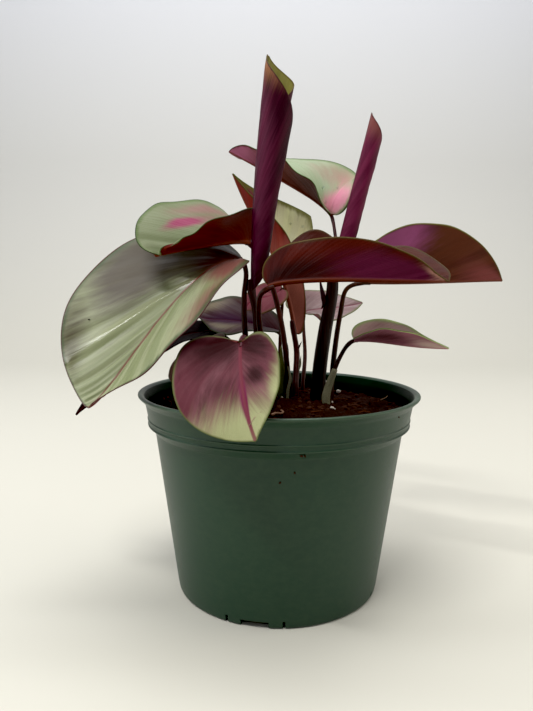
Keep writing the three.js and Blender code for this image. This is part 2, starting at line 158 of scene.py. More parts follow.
sheet = backdrop()
sheet_paint, tree = new_material("matt_white_paint")
where = add(tree, "ShaderNodeTexCoord").outputs["Object"]
height = add(tree, "ShaderNodeSeparateXYZ", {"Vector": where}).outputs["Z"]
# Warmer and darker on the floor, cooler and lighter up the wall: partly the surfaces' own tones, partly painted
# light.
rise = add(tree, "ShaderNodeMapRange", {"Value": height, "From Min": 0.0, "From Max": 1.1})
tone = add(tree, "ShaderNodeMix", {0: rise.outputs["Result"], 6: colour("#c9c6b9"), 7: colour("#d2d3d7")},
           data_type="RGBA")
roller = add(tree, "ShaderNodeTexNoise", {"Scale": 1 / (2 * MM), "Detail": 2.0})
nap = add(tree, "ShaderNodeBump", {"Height": roller.outputs["Fac"], "Strength": 0.1, "Distance": 0.1 * MM})
shader = add(tree, "ShaderNodeBsdfPrincipled", {
    "Base Color": tone.outputs[2], "Roughness": 0.9, "Normal": nap.outputs["Normal"]})
add(tree, "ShaderNodeOutputMaterial", {"Surface": shader.outputs["BSDF"]})
sheet.data.materials.append(sheet_paint)


# %% Lights
def panel_light(name, place, target, size, power, tint):
    """Add a square soft panel that points at a place, in millimetres and watts."""
    data = bpy.data.lights.new(name, "AREA")
    data.shape = "RECTANGLE"
    data.size, data.size_y = size[0] * MM, size[1] * MM
    data.energy = power
    data.color = colour(tint)[:3]
    lamp = bpy.data.objects.new(name, data)
    bpy.context.scene.collection.objects.link(lamp)
    lamp.location = Vector(place) * MM
    lamp.rotation_mode = "QUATERNION"
    lamp.rotation_quaternion = (Vector(target) - Vector(place)).to_track_quat("-Z", "Y")
    return lamp


panel_light("top_panel", (0, 150, 2000), (0, 0, 100), (1500, 1100), 20, "#ffffff")
panel_light("left_panel", (-1100, -100, 500), (0, 0, 120), (600, 900), 3.8, "#f6f8ff")
panel_light("right_panel", (1100, 0, 450), (0, 0, 120), (600, 800), 4, "#fff6ea")
panel_light("wall_wash", (0, 500, 1800), (0, 1400, 600), (1800, 500), 12, "#f4f6ff")
panel_light("window_strip", (-300, -480, 966), (-80, -26, 146), (520, 40), 6, "#ffffff")
world = bpy.data.worlds.new("room")
bpy.context.scene.world = world
world.use_nodes = True
world.node_tree.nodes["Background"].inputs["Color"].default_value = colour("#e8ecf2")
world.node_tree.nodes["Background"].inputs["Strength"].default_value = 0.45

# %% [markdown]
# ## The shape of a blade
#
# A calathea blade is one thin sheet. Its midrib bends like a fishing rod, the two halves fold up from it or
# curl down, the base has rounded lobes and the margin waves a little. A Bezier curve gives the midrib, and a
# few angles give the rest, so a whole leaf is a dozen numbers that a gardener could measure. The same numbers
# made the plain solids, so the fine sheets lie where the model says.

# %% The fifteen leaves
def leaf(name, midrib, facing, half_width, fold, curl, lobe, broadest, wave, foot, petiole,
         stem_radius, **more):
    """One leaf's measurements in millimetres and degrees.

    A pair is first half and second half, or base and tip. A pair of pairs is base and tip of each half.
    """
    return dict(name=name, midrib=midrib, facing=facing, half_width=half_width, fold=fold, curl=curl,
                lobe=lobe, broadest=broadest, wave=wave, foot=foot, petiole=petiole,
                stem_radius=stem_radius, **more)


leaves = [
    leaf("leaf_left_large", [(-20, -8, 178), (-46, -24, 182), (-84, -31, 108), (-89, -54, 108)],
         [(-0.3, -0.5, 0.8), (-0.4, -0.8, 0.4)], (49, 30), [(0, 28), (15, 40)], [(5, 29), (-10, -30)],
         (9, 1), (0.43, 0.43), (1.0, 3.5), (-13, 3), [(-18, 0, 133), (-19, -5, 158), (-18, -7, 172)], 1.7,
         swell=0.3, crease=(28.7, 0.42)),
    leaf("leaf_left_upper", [(-17, 12, 188), (-25, 1, 190), (-75, -17, 177), (-59, -29, 179)],
         [(-0.1, -0.1, 1.0), (0.1, -0.5, 0.8)], (34, 26), [(50, 39), (59, 45)], [(-14, -23), (-16, -27)],
         (6, 6), (0.41, 0.41), (0.8, 4), (6, 11), [(2, 7, 140), (-3, 9, 161), (-10, 12, 180)], 1.6),
    leaf("leaf_rolled_tall", [(-14, -7, 162), (-15, -11, 195), (-12, -15, 239), (-7, -17, 277)],
         [(1.0, -0.3, 0.0), (0.9, -0.3, 0.0)], (24, 24), None, None, None, (0.5, 0.5), None, (-7, 6),
         [(-11, 0, 130), (-12.5, -4, 150)], 2.6,
         roll_radius=(2.2, 9), turn=(290, 245), turn_end=(3, 1.9), roll_gap=0.8),
    leaf("leaf_rolled_right", [(31, 9, 177), (36, 9, 202), (43, 9, 230), (49, 9, 257)],
         [(1.0, -0.2, 0.0), (1.0, -0.2, -0.2)], (16, 16), None, None, None, (0.5, 0.5), None, (22.5, 11),
         [(23.5, 11, 120), (26, 10.5, 140), (29.5, 10, 162)], 4.1,
         roll_radius=(2.9, 3.5), turn=(290, 250), turn_end=(4, 3), roll_gap=0.8),
    leaf("leaf_back_top", [(31, 36, 206), (26, 48, 217), (-27, 44, 242), (-30, 46, 244)],
         [(-0.1, -0.4, 0.9), (0.4, 0.3, 0.9)], (26, 17), [(100, 2), (50, 39)], [(-38, 20), (-21, -25)],
         (22, 0), (0.27, 0.39), (2.2, 3.4), (24.5, 25),
         [(27, 26, 125), (31, 20, 150), (33, 20, 172), (33, 30, 192)], 1.3,
         tip_power=(2.1, 1.9), second_wave=(1.5, 3.5, 2)),
    leaf("leaf_front_folded", [(-6, -34, 164), (6, -37, 170), (67, -38, 166), (74, -58, 167)],
         [(0.0, 0.3, 0.9), (-0.3, 0.1, 0.9)], (20, 34), [(84, 66), (69, 34)], [(25, -19), (8, -35)],
         (4, -8), (0.4, 0.35), (0.8, 4), (-3, -3), [(-9, -11, 134), (-11, -21, 151), (-10, -28, 160)], 1.7,
         tip_power=(1.9, 2.3), second_wave=(5.5, 1.92, 5.42)),
    leaf("leaf_right_folded", [(46, 10, 167), (74, 11, 166), (104, 4, 168), (124, 11, 168)],
         [(0.0, -0.1, 1.0), (-0.1, -0.1, 1.0)], (34, 30), [(68, 70), (72, 74)], [(0, 0), (0, 0)],
         (4, 4), (0.4, 0.4), (0.6, 4), (30.5, 15), [(32, 17, 125), (35, 16, 149), (38, 13, 163)], 1.6),
    leaf("leaf_front_heart", [(-19, -49, 138), (-19, -63, 129), (-17, -81, 114), (-11, -94, 103)],
         [(-0.3, -0.7, 0.6), (-0.5, -0.7, 0.5)], (32, 17), [(17, -2), (0, -15)], [(0, -22), (-21, -30)],
         (10, 10), (0.37, 0.37), (0.7, 3), (-4, -12),
         [(-8, -16, 120), (-14, -28, 134), (-18, -40, 140)], 1.5),
    leaf("leaf_middle_purple", [(1, 32, 137), (-26, 25, 148), (-40, 28, 142), (-47, 20, 147)],
         [(-0.1, -0.4, 0.9), (-0.2, -0.6, 0.8)], (20, 18), [(19, 6), (30, -2)], [(0, 0), (-6, -26)],
         (3, 3), (0.4, 0.4), (0.6, 3), (4, 21), [(5, 24, 118), (4.5, 28, 130)], 1.4),
    leaf("leaf_low_left", [(-29, -9, 136), (-51, -16, 125), (-45, -24, 117), (-50, -28, 111)],
         [(-0.3, -0.5, 0.8), (-0.1, -0.5, 0.9)], (14, 15), [(-4, -1), (-20, -20)], [(-13, -9), (-20, -20)],
         (4, 4), (0.4, 0.4), (0.5, 3), (-13, 13), [(-16, 8, 118), (-22, 0, 131)], 1.4),
    leaf("leaf_back_upright", [(10, 30, 136), (2, 29, 187), (-14, 39, 194), (-27, 27, 228)],
         [(0.4, 0.5, 0.8), (0.9, 0.1, 0.4)], (32, 12.5), [(41, 105), (64, 45)], [(4, 50), (-2, -3)],
         (-3, 3), (0.54, 0.5), (0.9, 4), (10, 18), [(10.5, 22, 112), (11, 28, 126)], 2,
         tip_power=(1.0, 1.9)),
    leaf("leaf_back_small", [(16, 52, 147), (17, 59, 151), (40, 61, 149), (55, 65, 154)],
         [(0.0, -0.5, 0.9), (0.1, -0.5, 0.9)], (14, 17), [(7, -2), (22, 17)], [(-6, -10), (-8, -9)],
         (3, 3), (0.4, 0.4), (0.5, 3), (15, 30), [(16.5, 37, 122), (16, 47, 139)], 1.3),
    leaf("leaf_right_small", [(41, 4, 135), (57, 4, 136), (65, -6, 132), (90, -9, 132)],
         [(0.0, -0.3, 0.9), (0.0, -0.1, 1.0)], (16, 15), [(32, 56), (33, 37)], [(0, 0), (0, 0)],
         (2, 2), (0.4, 0.4), (0.4, 3), (28.5, 3.5), [(31, 5, 118), (35, 6, 127), (38, 5, 132)], 1.4),
    leaf("leaf_left_hidden", [(-39, 21, 138), (-70, 16, 138), (-94, -1, 112), (-109, -10, 95)],
         [(-0.5, -0.6, 0.7), (-0.3, -0.6, 0.7)], (16, 12), [(0, 0), (17, 10)], [(-10, -10), (3, -6)],
         (5, 5), (0.4, 0.4), (0.6, 4), (-14, 22), [(-19, 22, 118), (-30, 22, 134)], 1.4,
         tip_power=(1.2, 1.5)),
    leaf("leaf_middle_small", [(2, 20, 163), (-7, 22, 154), (-16, 24, 161), (-20, 26, 149)],
         [(-0.2, -0.5, 0.8), (-0.2, -0.6, 0.7)], (11, 13), [(8, 12), (1, 0)], [(0, 0), (-9, -10)],
         (3, 3), (0.4, 0.4), (0.4, 3), (0.5, 15), [(1, 16, 137), (2, 18, 154)], 1.1),
]
print("leaves:", len(leaves))


# %% Curve of the midrib
def unit(vectors):
    """Scale vectors to length 1."""
    return vectors / np.maximum(np.linalg.norm(vectors, axis=-1, keepdims=True), 1e-9)


def midrib_frames(leaf, t):
    """Points of the midrib with the directions along it, out of the face, and to the first half."""
    a, b, c, d = (np.array(p, float) for p in leaf["midrib"])
    u = np.clip(t, 0, 1)[..., None]
    point = (1 - u) ** 3 * a + 3 * (1 - u) ** 2 * u * b + 3 * (1 - u) * u ** 2 * c + u ** 3 * d
    along = unit((1 - u) ** 2 * (b - a) + 2 * (1 - u) * u * (c - b) + u ** 2 * (d - c))
    base_facing, tip_facing = (unit(np.array(f, float)) for f in leaf["facing"])
    up = base_facing * (1 - u) + tip_facing * u
    up = unit(up - (up * along).sum(-1, keepdims=True) * along)
    return point, along, up, np.cross(along, up)


def midrib_length(leaf):
    """Length of the midrib in millimetres."""
    points = midrib_frames(leaf, np.linspace(0, 1, 200))[0]
    return np.linalg.norm(np.diff(points, axis=0), axis=1).sum()


print("longest midrib in mm:", round(max(midrib_length(item) for item in leaves), 1))


# %% Outline of the blade
def outline(t, broadest, tip_power):
    """Half width along the midrib: 0 at both ends and 1 where the blade is broadest."""
    lower = np.sqrt(np.clip(1 - np.clip(1 - t / broadest, 0, 1) ** 2.2, 0, 1))
    beyond = np.clip((t - broadest) / (1 - broadest), 0, 1)
    upper = np.clip(1 - beyond ** tip_power, 0, 1) ** 1.05
    return np.where(t < broadest, lower, upper)


def lobe_reach(t):
    """How far back the margin reaches near the base, from 0 to 1: the rounded lobes."""
    return np.where(t < 0.5, np.sin(np.pi * np.clip(t / 0.5, 0, 1) ** 0.45), 0)


def mix(pair, t):
    """Value between a pair, at t from 0 to 1."""
    return pair[0] + (pair[1] - pair[0]) * t


# %% Surface of an open or folded blade
END_HALF_WIDTH = 0.5


def open_half(leaf, half, t, out, length):
    """Points of one half and their distance from the midrib. out runs from 0 there to 1 at the margin."""
    side = 1 if half == 0 else -1
    behind = t - out ** 2 * (leaf["lobe"][half] / length) * lobe_reach(t)
    point, along, up, aside = midrib_frames(leaf, behind)
    point = point + along * (np.minimum(behind, 0) * length)[..., None]
    tip_power = leaf.get("tip_power", (1.9, 1.9))[half]
    width = leaf["half_width"][half] * outline(t, leaf["broadest"][half], tip_power)
    distance = out * (width + END_HALF_WIDTH)
    fold = np.radians(mix(leaf["fold"][half], t))
    bend = np.radians(mix(leaf["curl"][half], t)) / leaf["half_width"][half]
    middle = fold + bend * distance / 2
    end = fold + bend * distance
    height, count, start = leaf.get("second_wave", (*leaf["wave"], 2)) if half else (*leaf["wave"], 0)
    wave = height * out ** 2 * np.sin(2 * np.pi * count * t + start) * np.sin(np.pi * t)
    across = side * distance * np.cos(middle) - side * np.sin(end) * wave
    rise = distance * np.sin(middle) + np.cos(end) * wave
    return point + aside * across[..., None] + up * rise[..., None], distance


# %% Surface of a blade that is still rolled
def rolled_half(leaf, half, t, out, length):
    """The same for a rolled blade: the first half is wound inside the second."""
    side = 1 if half == 0 else -1
    point, along, up, aside = midrib_frames(leaf, t)
    gap = leaf["roll_gap"] * (1 if half else -1)
    radius = mix(leaf["roll_radius"], t) + gap
    reach = leaf["turn"][half] * outline(t, leaf["broadest"][half], leaf["turn_end"][half]) + 8
    angle = np.radians(out * reach)
    across = side * radius * np.sin(angle)
    rise = radius * (1 - np.cos(angle))
    return point + aside * across[..., None] + up * rise[..., None], radius * angle


# %% [markdown]
# ## From surface to leaf
#
# On the real leaf the midrib stands out below as a rib and lies in a groove above. Side veins leave it every
# few millimetres and sweep towards the tip, and the sheet is quilted between them. A displacement map could
# fake that, but the meshes are kept too, so the rib, the groove and the quilting are moved points. Each point
# also carries its distances to the midrib, to the margin and along the veins, in millimetres. The materials
# read these, so the markings follow the veins as they do on the plant.

# %% Settings of the blade mesh
BLADE_HALF_THICKNESS = 0.22
RIB_DEPTH = 1.1
RIB_HALF_WIDTH = 1.2
GROOVE_DEPTH = 0.25
QUILT_DEPTH = 0.07
SWELL_DEPTH = 0.12
WIDE_SWELL = 17
NARROW_SWELL = 11
CREASE_HEIGHT = 0.5
CREASE_WIDTH = 3.0
VEIN_SPACING = 4.0
VEIN_SPREAD = 0.7
VEIN_SWEEP = 4.5
ROW_LENGTH = 1.0
COLUMN_WIDTH = 1.1


def blade_grid(leaf):
    """The blade's surface points on a fine grid, with what each point knows about its place."""
    length = midrib_length(leaf)
    rolled = "roll_radius" in leaf
    rows = int(length / ROW_LENGTH)
    widest = 2 * math.pi * max(leaf["roll_radius"]) * 0.75 if rolled else max(leaf["half_width"])
    columns = int(widest / COLUMN_WIDTH) + 4
    u = np.linspace(0, 1, rows + 1)
    t = 0.4 * u + 0.3 * (1 - np.cos(np.pi * u))
    out = np.linspace(0, 1, columns + 1) ** 1.25
    t_grid, out_grid = np.meshgrid(t, out, indexing="ij")
    surface = rolled_half if rolled else open_half
    first, first_distance = surface(leaf, 0, t_grid, out_grid, length)
    second, second_distance = surface(leaf, 1, t_grid, out_grid, length)

    def join(right, left):
        return np.concatenate([left[:, :0:-1], right], axis=1)

    points = join(first, second)
    rib = join(first_distance, second_distance)
    edge = join(first_distance[:, -1:] - first_distance, second_distance[:, -1:] - second_distance)
    side = join(np.ones_like(out_grid), -np.ones_like(out_grid))
    t_all = join(t_grid, t_grid)
    out_all = join(out_grid, -out_grid)
    vein = (t_all * length - VEIN_SPREAD * rib) / (1 + VEIN_SWEEP * rib / length)
    return points, dict(t=t_all, across=out_all, rib_mm=rib, edge_mm=edge, side=side, vein_mm=vein)


# %% Closed sheet with rib, groove and quilting
def blade_sheet(leaf):
    """Vertices, faces and per-point values of a blade. The first half of the points is the upper face."""
    points, place = blade_grid(leaf)
    rows, columns = points.shape[:2]
    along = np.gradient(points, axis=0)
    across = np.gradient(points, axis=1)
    normal = unit(np.cross(across, along))
    rib, edge = place["rib_mm"], place["edge_mm"]
    fade = np.clip(rib / 4, 0, 1) * np.clip(edge / 5, 0, 1)
    vein = place["vein_mm"]
    quilt = QUILT_DEPTH * fade * np.sin(2 * np.pi * vein / VEIN_SPACING)
    # Wide uneven swells run along the veins. The largest blade has one raised crease that catches the light.
    swell = np.sin(2 * np.pi * vein / WIDE_SWELL + 1.1 + rib / 60)
    swell = swell + 0.8 * np.sin(2 * np.pi * vein / NARROW_SWELL + 2.3 - rib / 25)
    quilt += leaf.get("swell", SWELL_DEPTH) * fade * swell
    place["gleam"] = np.zeros_like(rib)
    if "crease" in leaf:
        start, drift = leaf["crease"]
        beside = (vein - start - drift * rib) / CREASE_WIDTH
        quilt += CREASE_HEIGHT * fade * np.exp(-beside ** 2) * (place["side"] > 0)
        place["gleam"] = np.exp(-beside ** 2 / 4) * (place["side"] > 0)
    groove = GROOVE_DEPTH * np.exp(-(rib / 0.8) ** 2)
    bulge = RIB_DEPTH * (1 - 0.8 * place["t"]) * np.sqrt(np.clip(1 - (rib / RIB_HALF_WIDTH) ** 2, 0, 1))
    upper = points + normal * (BLADE_HALF_THICKNESS + quilt - groove)[..., None]
    lower = points + normal * (quilt - BLADE_HALF_THICKNESS - bulge)[..., None]
    vertices = np.concatenate([upper.reshape(-1, 3), lower.reshape(-1, 3)])
    index = np.arange(rows * columns).reshape(rows, columns)
    a, b = index[:-1, :-1].ravel(), index[:-1, 1:].ravel()
    c, d = index[1:, 1:].ravel(), index[1:, :-1].ravel()
    below = rows * columns
    top = np.stack([a, b, c, d], 1)
    bottom = np.stack([a, d, c, b], 1) + below
    loop = np.concatenate([index[0], index[1:, -1], index[-1, -2::-1], index[-2:0:-1, 0]])
    ahead = np.roll(loop, -1)
    rim = np.stack([ahead, loop, loop + below, ahead + below], 1)
    values = {key: np.tile(value.ravel(), 2) for key, value in place.items()}
    values["underside"] = np.repeat([0.0, 1.0], below)
    return vertices, (top, bottom, rim), values


sample = blade_sheet(leaves[0])
print("points of the largest blade:", len(sample[0]))


# %% [markdown]
# ## Stalks
#
# Each leaf stands on a petiole, a stalk that rises from the soil, and just under the blade it has a slightly
# swollen joint, the pulvinus, with which prayer plants raise their leaves at night. A curve with a bevel
# would give an even tube, but the stalk thins upwards and swells at the joint, so its rings are made one by
# one along a smooth curve.

# %% Smooth curve through points
def smooth_route(points, steps=10):
    """Centripetal Catmull-Rom curve through points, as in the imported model."""
    points = [np.array(p, float) for p in points]
    points = [2 * points[0] - points[1], *points, 2 * points[-1] - points[-2]]
    route = []
    for p0, p1, p2, p3 in zip(points, points[1:], points[2:], points[3:]):
        gaps = [max(np.linalg.norm(b - a) ** 0.5, 1e-4) for a, b in ((p0, p1), (p1, p2), (p2, p3))]
        start = (p1 - p0) / gaps[0] - (p2 - p0) / (gaps[0] + gaps[1]) + (p2 - p1) / gaps[1]
        finish = (p2 - p1) / gaps[1] - (p3 - p1) / (gaps[1] + gaps[2]) + (p3 - p2) / gaps[2]
        start, finish = start * gaps[1], finish * gaps[1]
        for u in np.arange(steps) / steps:
            square, cube = 3 * u ** 2 - 2 * u ** 3, u ** 3 - 2 * u ** 2 + u
            route.append(p1 * (1 - square) + p2 * square + start * cube + finish * (u ** 3 - u ** 2))
    return np.array([*route, points[-2]])


# %% Tube with its own radius at each ring
def tube(route, radii, sides):
    """Vertices and faces of a closed tube along a route."""
    along = unit(np.gradient(route, axis=0))
    spoke = np.cross(along[0], (0.31, 0.88, 0.36))
    vertices = []
    for centre, direction, radius in zip(route, along, radii):
        spoke = unit(spoke - spoke.dot(direction) * direction)
        other = np.cross(direction, spoke)
        for k in range(sides):
            angle = 2 * math.pi * k / sides
            vertices.append(centre + radius * (math.cos(angle) * spoke + math.sin(angle) * other))
    faces = []
    for ring in range(len(route) - 1):
        for k in range(sides):
            a, b = ring * sides + k, ring * sides + (k + 1) % sides
            faces.append((a, b, b + sides, a + sides))
    faces.append(tuple(range(sides - 1, -1, -1)))
    faces.append(tuple(range(len(vertices) - sides, len(vertices))))
    return np.array(vertices), faces


# %% Stalk of one leaf
SOIL_RIM = 97.5
STALK_SIDES = 16


def stalk(leaf):
    """Vertices, faces and place along the stalk, from 82 mm up in the pot to under the blade."""
    x, y = leaf["foot"]
    radius = leaf["stem_radius"]
    point, along, up, aside = midrib_frames(leaf, np.array([0.0, 0.06]))
    joint = point[0] - up[0] * radius * 0.4
    inside = point[1] - up[1] * radius * 0.35
    route = smooth_route([(x, y, 82), (x, y, 94), (x, y, SOIL_RIM + 8), *leaf["petiole"], joint, inside])
    steps = np.linalg.norm(np.diff(route, axis=0), axis=1)
    run = np.concatenate([[0], np.cumsum(steps)])
    t = run / run[-1]
    to_joint = (run[-1] - run - 5) / 3.5
    swelling = 1 + 0.22 * np.exp(-to_joint ** 2)
    sheath = 1 + 0.15 * np.clip(1 - (route[:, 2] - SOIL_RIM) / 18, 0, 1) ** 2
    radii = radius * (1 - 0.35 * t ** 3) * swelling * sheath
    radii[-1] *= 0.4
    vertices, faces = tube(route, radii, STALK_SIDES)
    return vertices, faces, np.repeat(t, STALK_SIDES)


print("stalk points:", len(stalk(leaves[0])[0]))

# %% [markdown]
# ## Leaf skin
#
# The upper face has a waxy skin over silvery grey-green tissue. Darker green shows in a band along the
# margin, feathered along the veins, and young leaves keep a pink or wine flush. The underside is wine red
# from anthocyanin. Each face gets one material: a main colour, lighter and darker streaks drawn along the
# veins, patches where the leaf has them, the band, and the thin lines of midrib and margin. Three soft masks,
# flush, shade and bloom, are written on the points as gentle spots, because where a leaf blushes is
# particular to that leaf. One shade spot, at the base of the largest leaf, is painted shadow cast by the leaf
# above, and a few faces are painted lighter or darker as painted light and shade, as noted at their colours.
# Plain noise would also give mottling, but it wouldn't follow the veins, so the patterns are stretched along
# the vein distance that each point carries.

# %% Material of one leaf face
# Patterns of the skin: width across the veins, length along them, both in mm, and how fine the detail goes.
skin_patterns = {
    "bands": (9, 50, 2.0),
    "streaks": (2.4, 16, 3.0),
    "feather": (1.6, 8, 2.0),
    "clouds": (5, 8, 4.0),
}
VEIN_LINE_SPACING = 1.3
SKIN_GRAIN = 1.1
SKIN_RELIEF = 0.25
HALVES_APART = 40.0
CREASE_POLISH = -0.34


masks = ("flush", "shade", "bloom")


def leaf_skin(name, look):
    """Make the skin of one face from its colours and measures."""
    material, tree = new_material(name)
    known = {key: add(tree, "ShaderNodeAttribute", attribute_name=key).outputs["Fac"]
             for key in ("vein_mm", "rib_mm", "edge_mm", "band_mm", "side", *masks, "gleam")}
    apart = add(tree, "ShaderNodeMath", {0: known["side"], 1: HALVES_APART}, operation="MULTIPLY")
    place = add(tree, "ShaderNodeCombineXYZ", {
        "X": known["vein_mm"], "Y": known["rib_mm"], "Z": apart.outputs[0]})
    pattern = {}
    for title, (width_mm, length_mm, detail) in skin_patterns.items():
        stretch = add(tree, "ShaderNodeMapping", {
            "Vector": place.outputs["Vector"], "Scale": (1 / width_mm, 1 / length_mm, 1)})
        pattern[title] = add(tree, "ShaderNodeTexNoise", {
            "Vector": stretch.outputs["Vector"], "Scale": 1.0, "Detail": detail,
            "Roughness": 0.55}).outputs["Fac"]
    grain = add(tree, "ShaderNodeTexNoise", {
        "Scale": 1 / (SKIN_GRAIN * MM), "Detail": 3.0, "Roughness": 0.7}).outputs["Fac"]
    turn = add(tree, "ShaderNodeMath", {
        0: known["vein_mm"], 1: 2 * math.pi / VEIN_LINE_SPACING}, operation="MULTIPLY")
    lines = add(tree, "ShaderNodeMath", {0: turn.outputs[0]}, operation="SINE").outputs[0]
    # A patch has a ragged border: the feather pattern is laid over its soft mask.
    ragged = {}
    for mask in masks:
        ragged[mask] = add(tree, "ShaderNodeMath", {0: pattern["feather"], 1: 0.5, 2: known[mask]},
                           operation="MULTIPLY_ADD").outputs[0]
    ragged_edge = add(tree, "ShaderNodeMath", {
        0: pattern["clouds"], 1: -1.6 * look["band_mm"], 2: known["band_mm"]},
        operation="MULTIPLY_ADD").outputs[0]
    # Each layer: its colour, the value that places it, where that value starts and ends it, and its strength.
    layers = [
        (look["streak"], pattern["bands"], 0.42, 0.62, look.get("banded", 0.6)),
        (look["shade"], pattern["clouds"], 0.5, 0.8, look.get("clouded", 0.35)),
        (look["streak"], pattern["streaks"], 0.5, 0.8, 0.25),
        (look["streak"], lines, 0.2, 1.0, 0.1),
        (look["shade"], ragged["shade"], 0.4, 1.25, 1.0),
        (look["bloom"], ragged["bloom"], 0.4, 1.25, 1.0),
        (look["flush"], ragged["flush"], 0.4, 1.25, 1.0),
        (look["shade"], grain, 0.5, 0.75, look.get("grainy", 0.2)),
        (look["band"], ragged_edge, 0.3 * look["band_mm"], -0.6 * look["band_mm"], 0.85),
        (look["rib"], known["rib_mm"], look["rib_mm"], 0.4 * look["rib_mm"], 0.85),
        (look["edge"], known["edge_mm"], 0.7, 0.2, 1.0),
    ]
    skin = colour(look["field"])
    for tint, value, start, end, strength in layers:
        mask = add(tree, "ShaderNodeMapRange", {
            "Value": value, "From Min": start, "From Max": end, "To Max": strength},
            interpolation_type="SMOOTHSTEP")
        skin = add(tree, "ShaderNodeMix", {0: mask.outputs["Result"], 6: skin, 7: colour(tint)},
                   data_type="RGBA").outputs[2]
    height = add(tree, "ShaderNodeMath", {0: lines, 1: 0.3, 2: grain}, operation="MULTIPLY_ADD")
    bump = add(tree, "ShaderNodeBump", {
        "Height": height.outputs[0], "Strength": look.get("relief", 0.35), "Distance": SKIN_RELIEF * MM})
    satin = add(tree, "ShaderNodeMath", {
        0: pattern["streaks"], 1: 0.12, 2: look["roughness"]}, operation="MULTIPLY_ADD")
    gloss = add(tree, "ShaderNodeMath", {
        0: known["gleam"], 1: CREASE_POLISH, 2: satin.outputs[0]}, operation="MULTIPLY_ADD")
    shader = add(tree, "ShaderNodeBsdfPrincipled", {
        "Base Color": skin, "Roughness": gloss.outputs[0], "Normal": bump.outputs["Normal"], "IOR": 1.42,
        "Specular IOR Level": look.get("shine", 0.15)})
    add(tree, "ShaderNodeOutputMaterial", {"Surface": shader.outputs["BSDF"]})
    return material


# %% Colours of the faces
def look(field, streak, shade, flush, bloom, band, rib, edge, band_mm, rib_mm, roughness, **more):
    """Name one face's colours (main, streaks, three patches, margin, midrib, margin line) and measures."""
    return dict(field=field, streak=streak, shade=shade, flush=flush, bloom=bloom, band=band, rib=rib,
                edge=edge, band_mm=band_mm, rib_mm=rib_mm, roughness=roughness, **more)


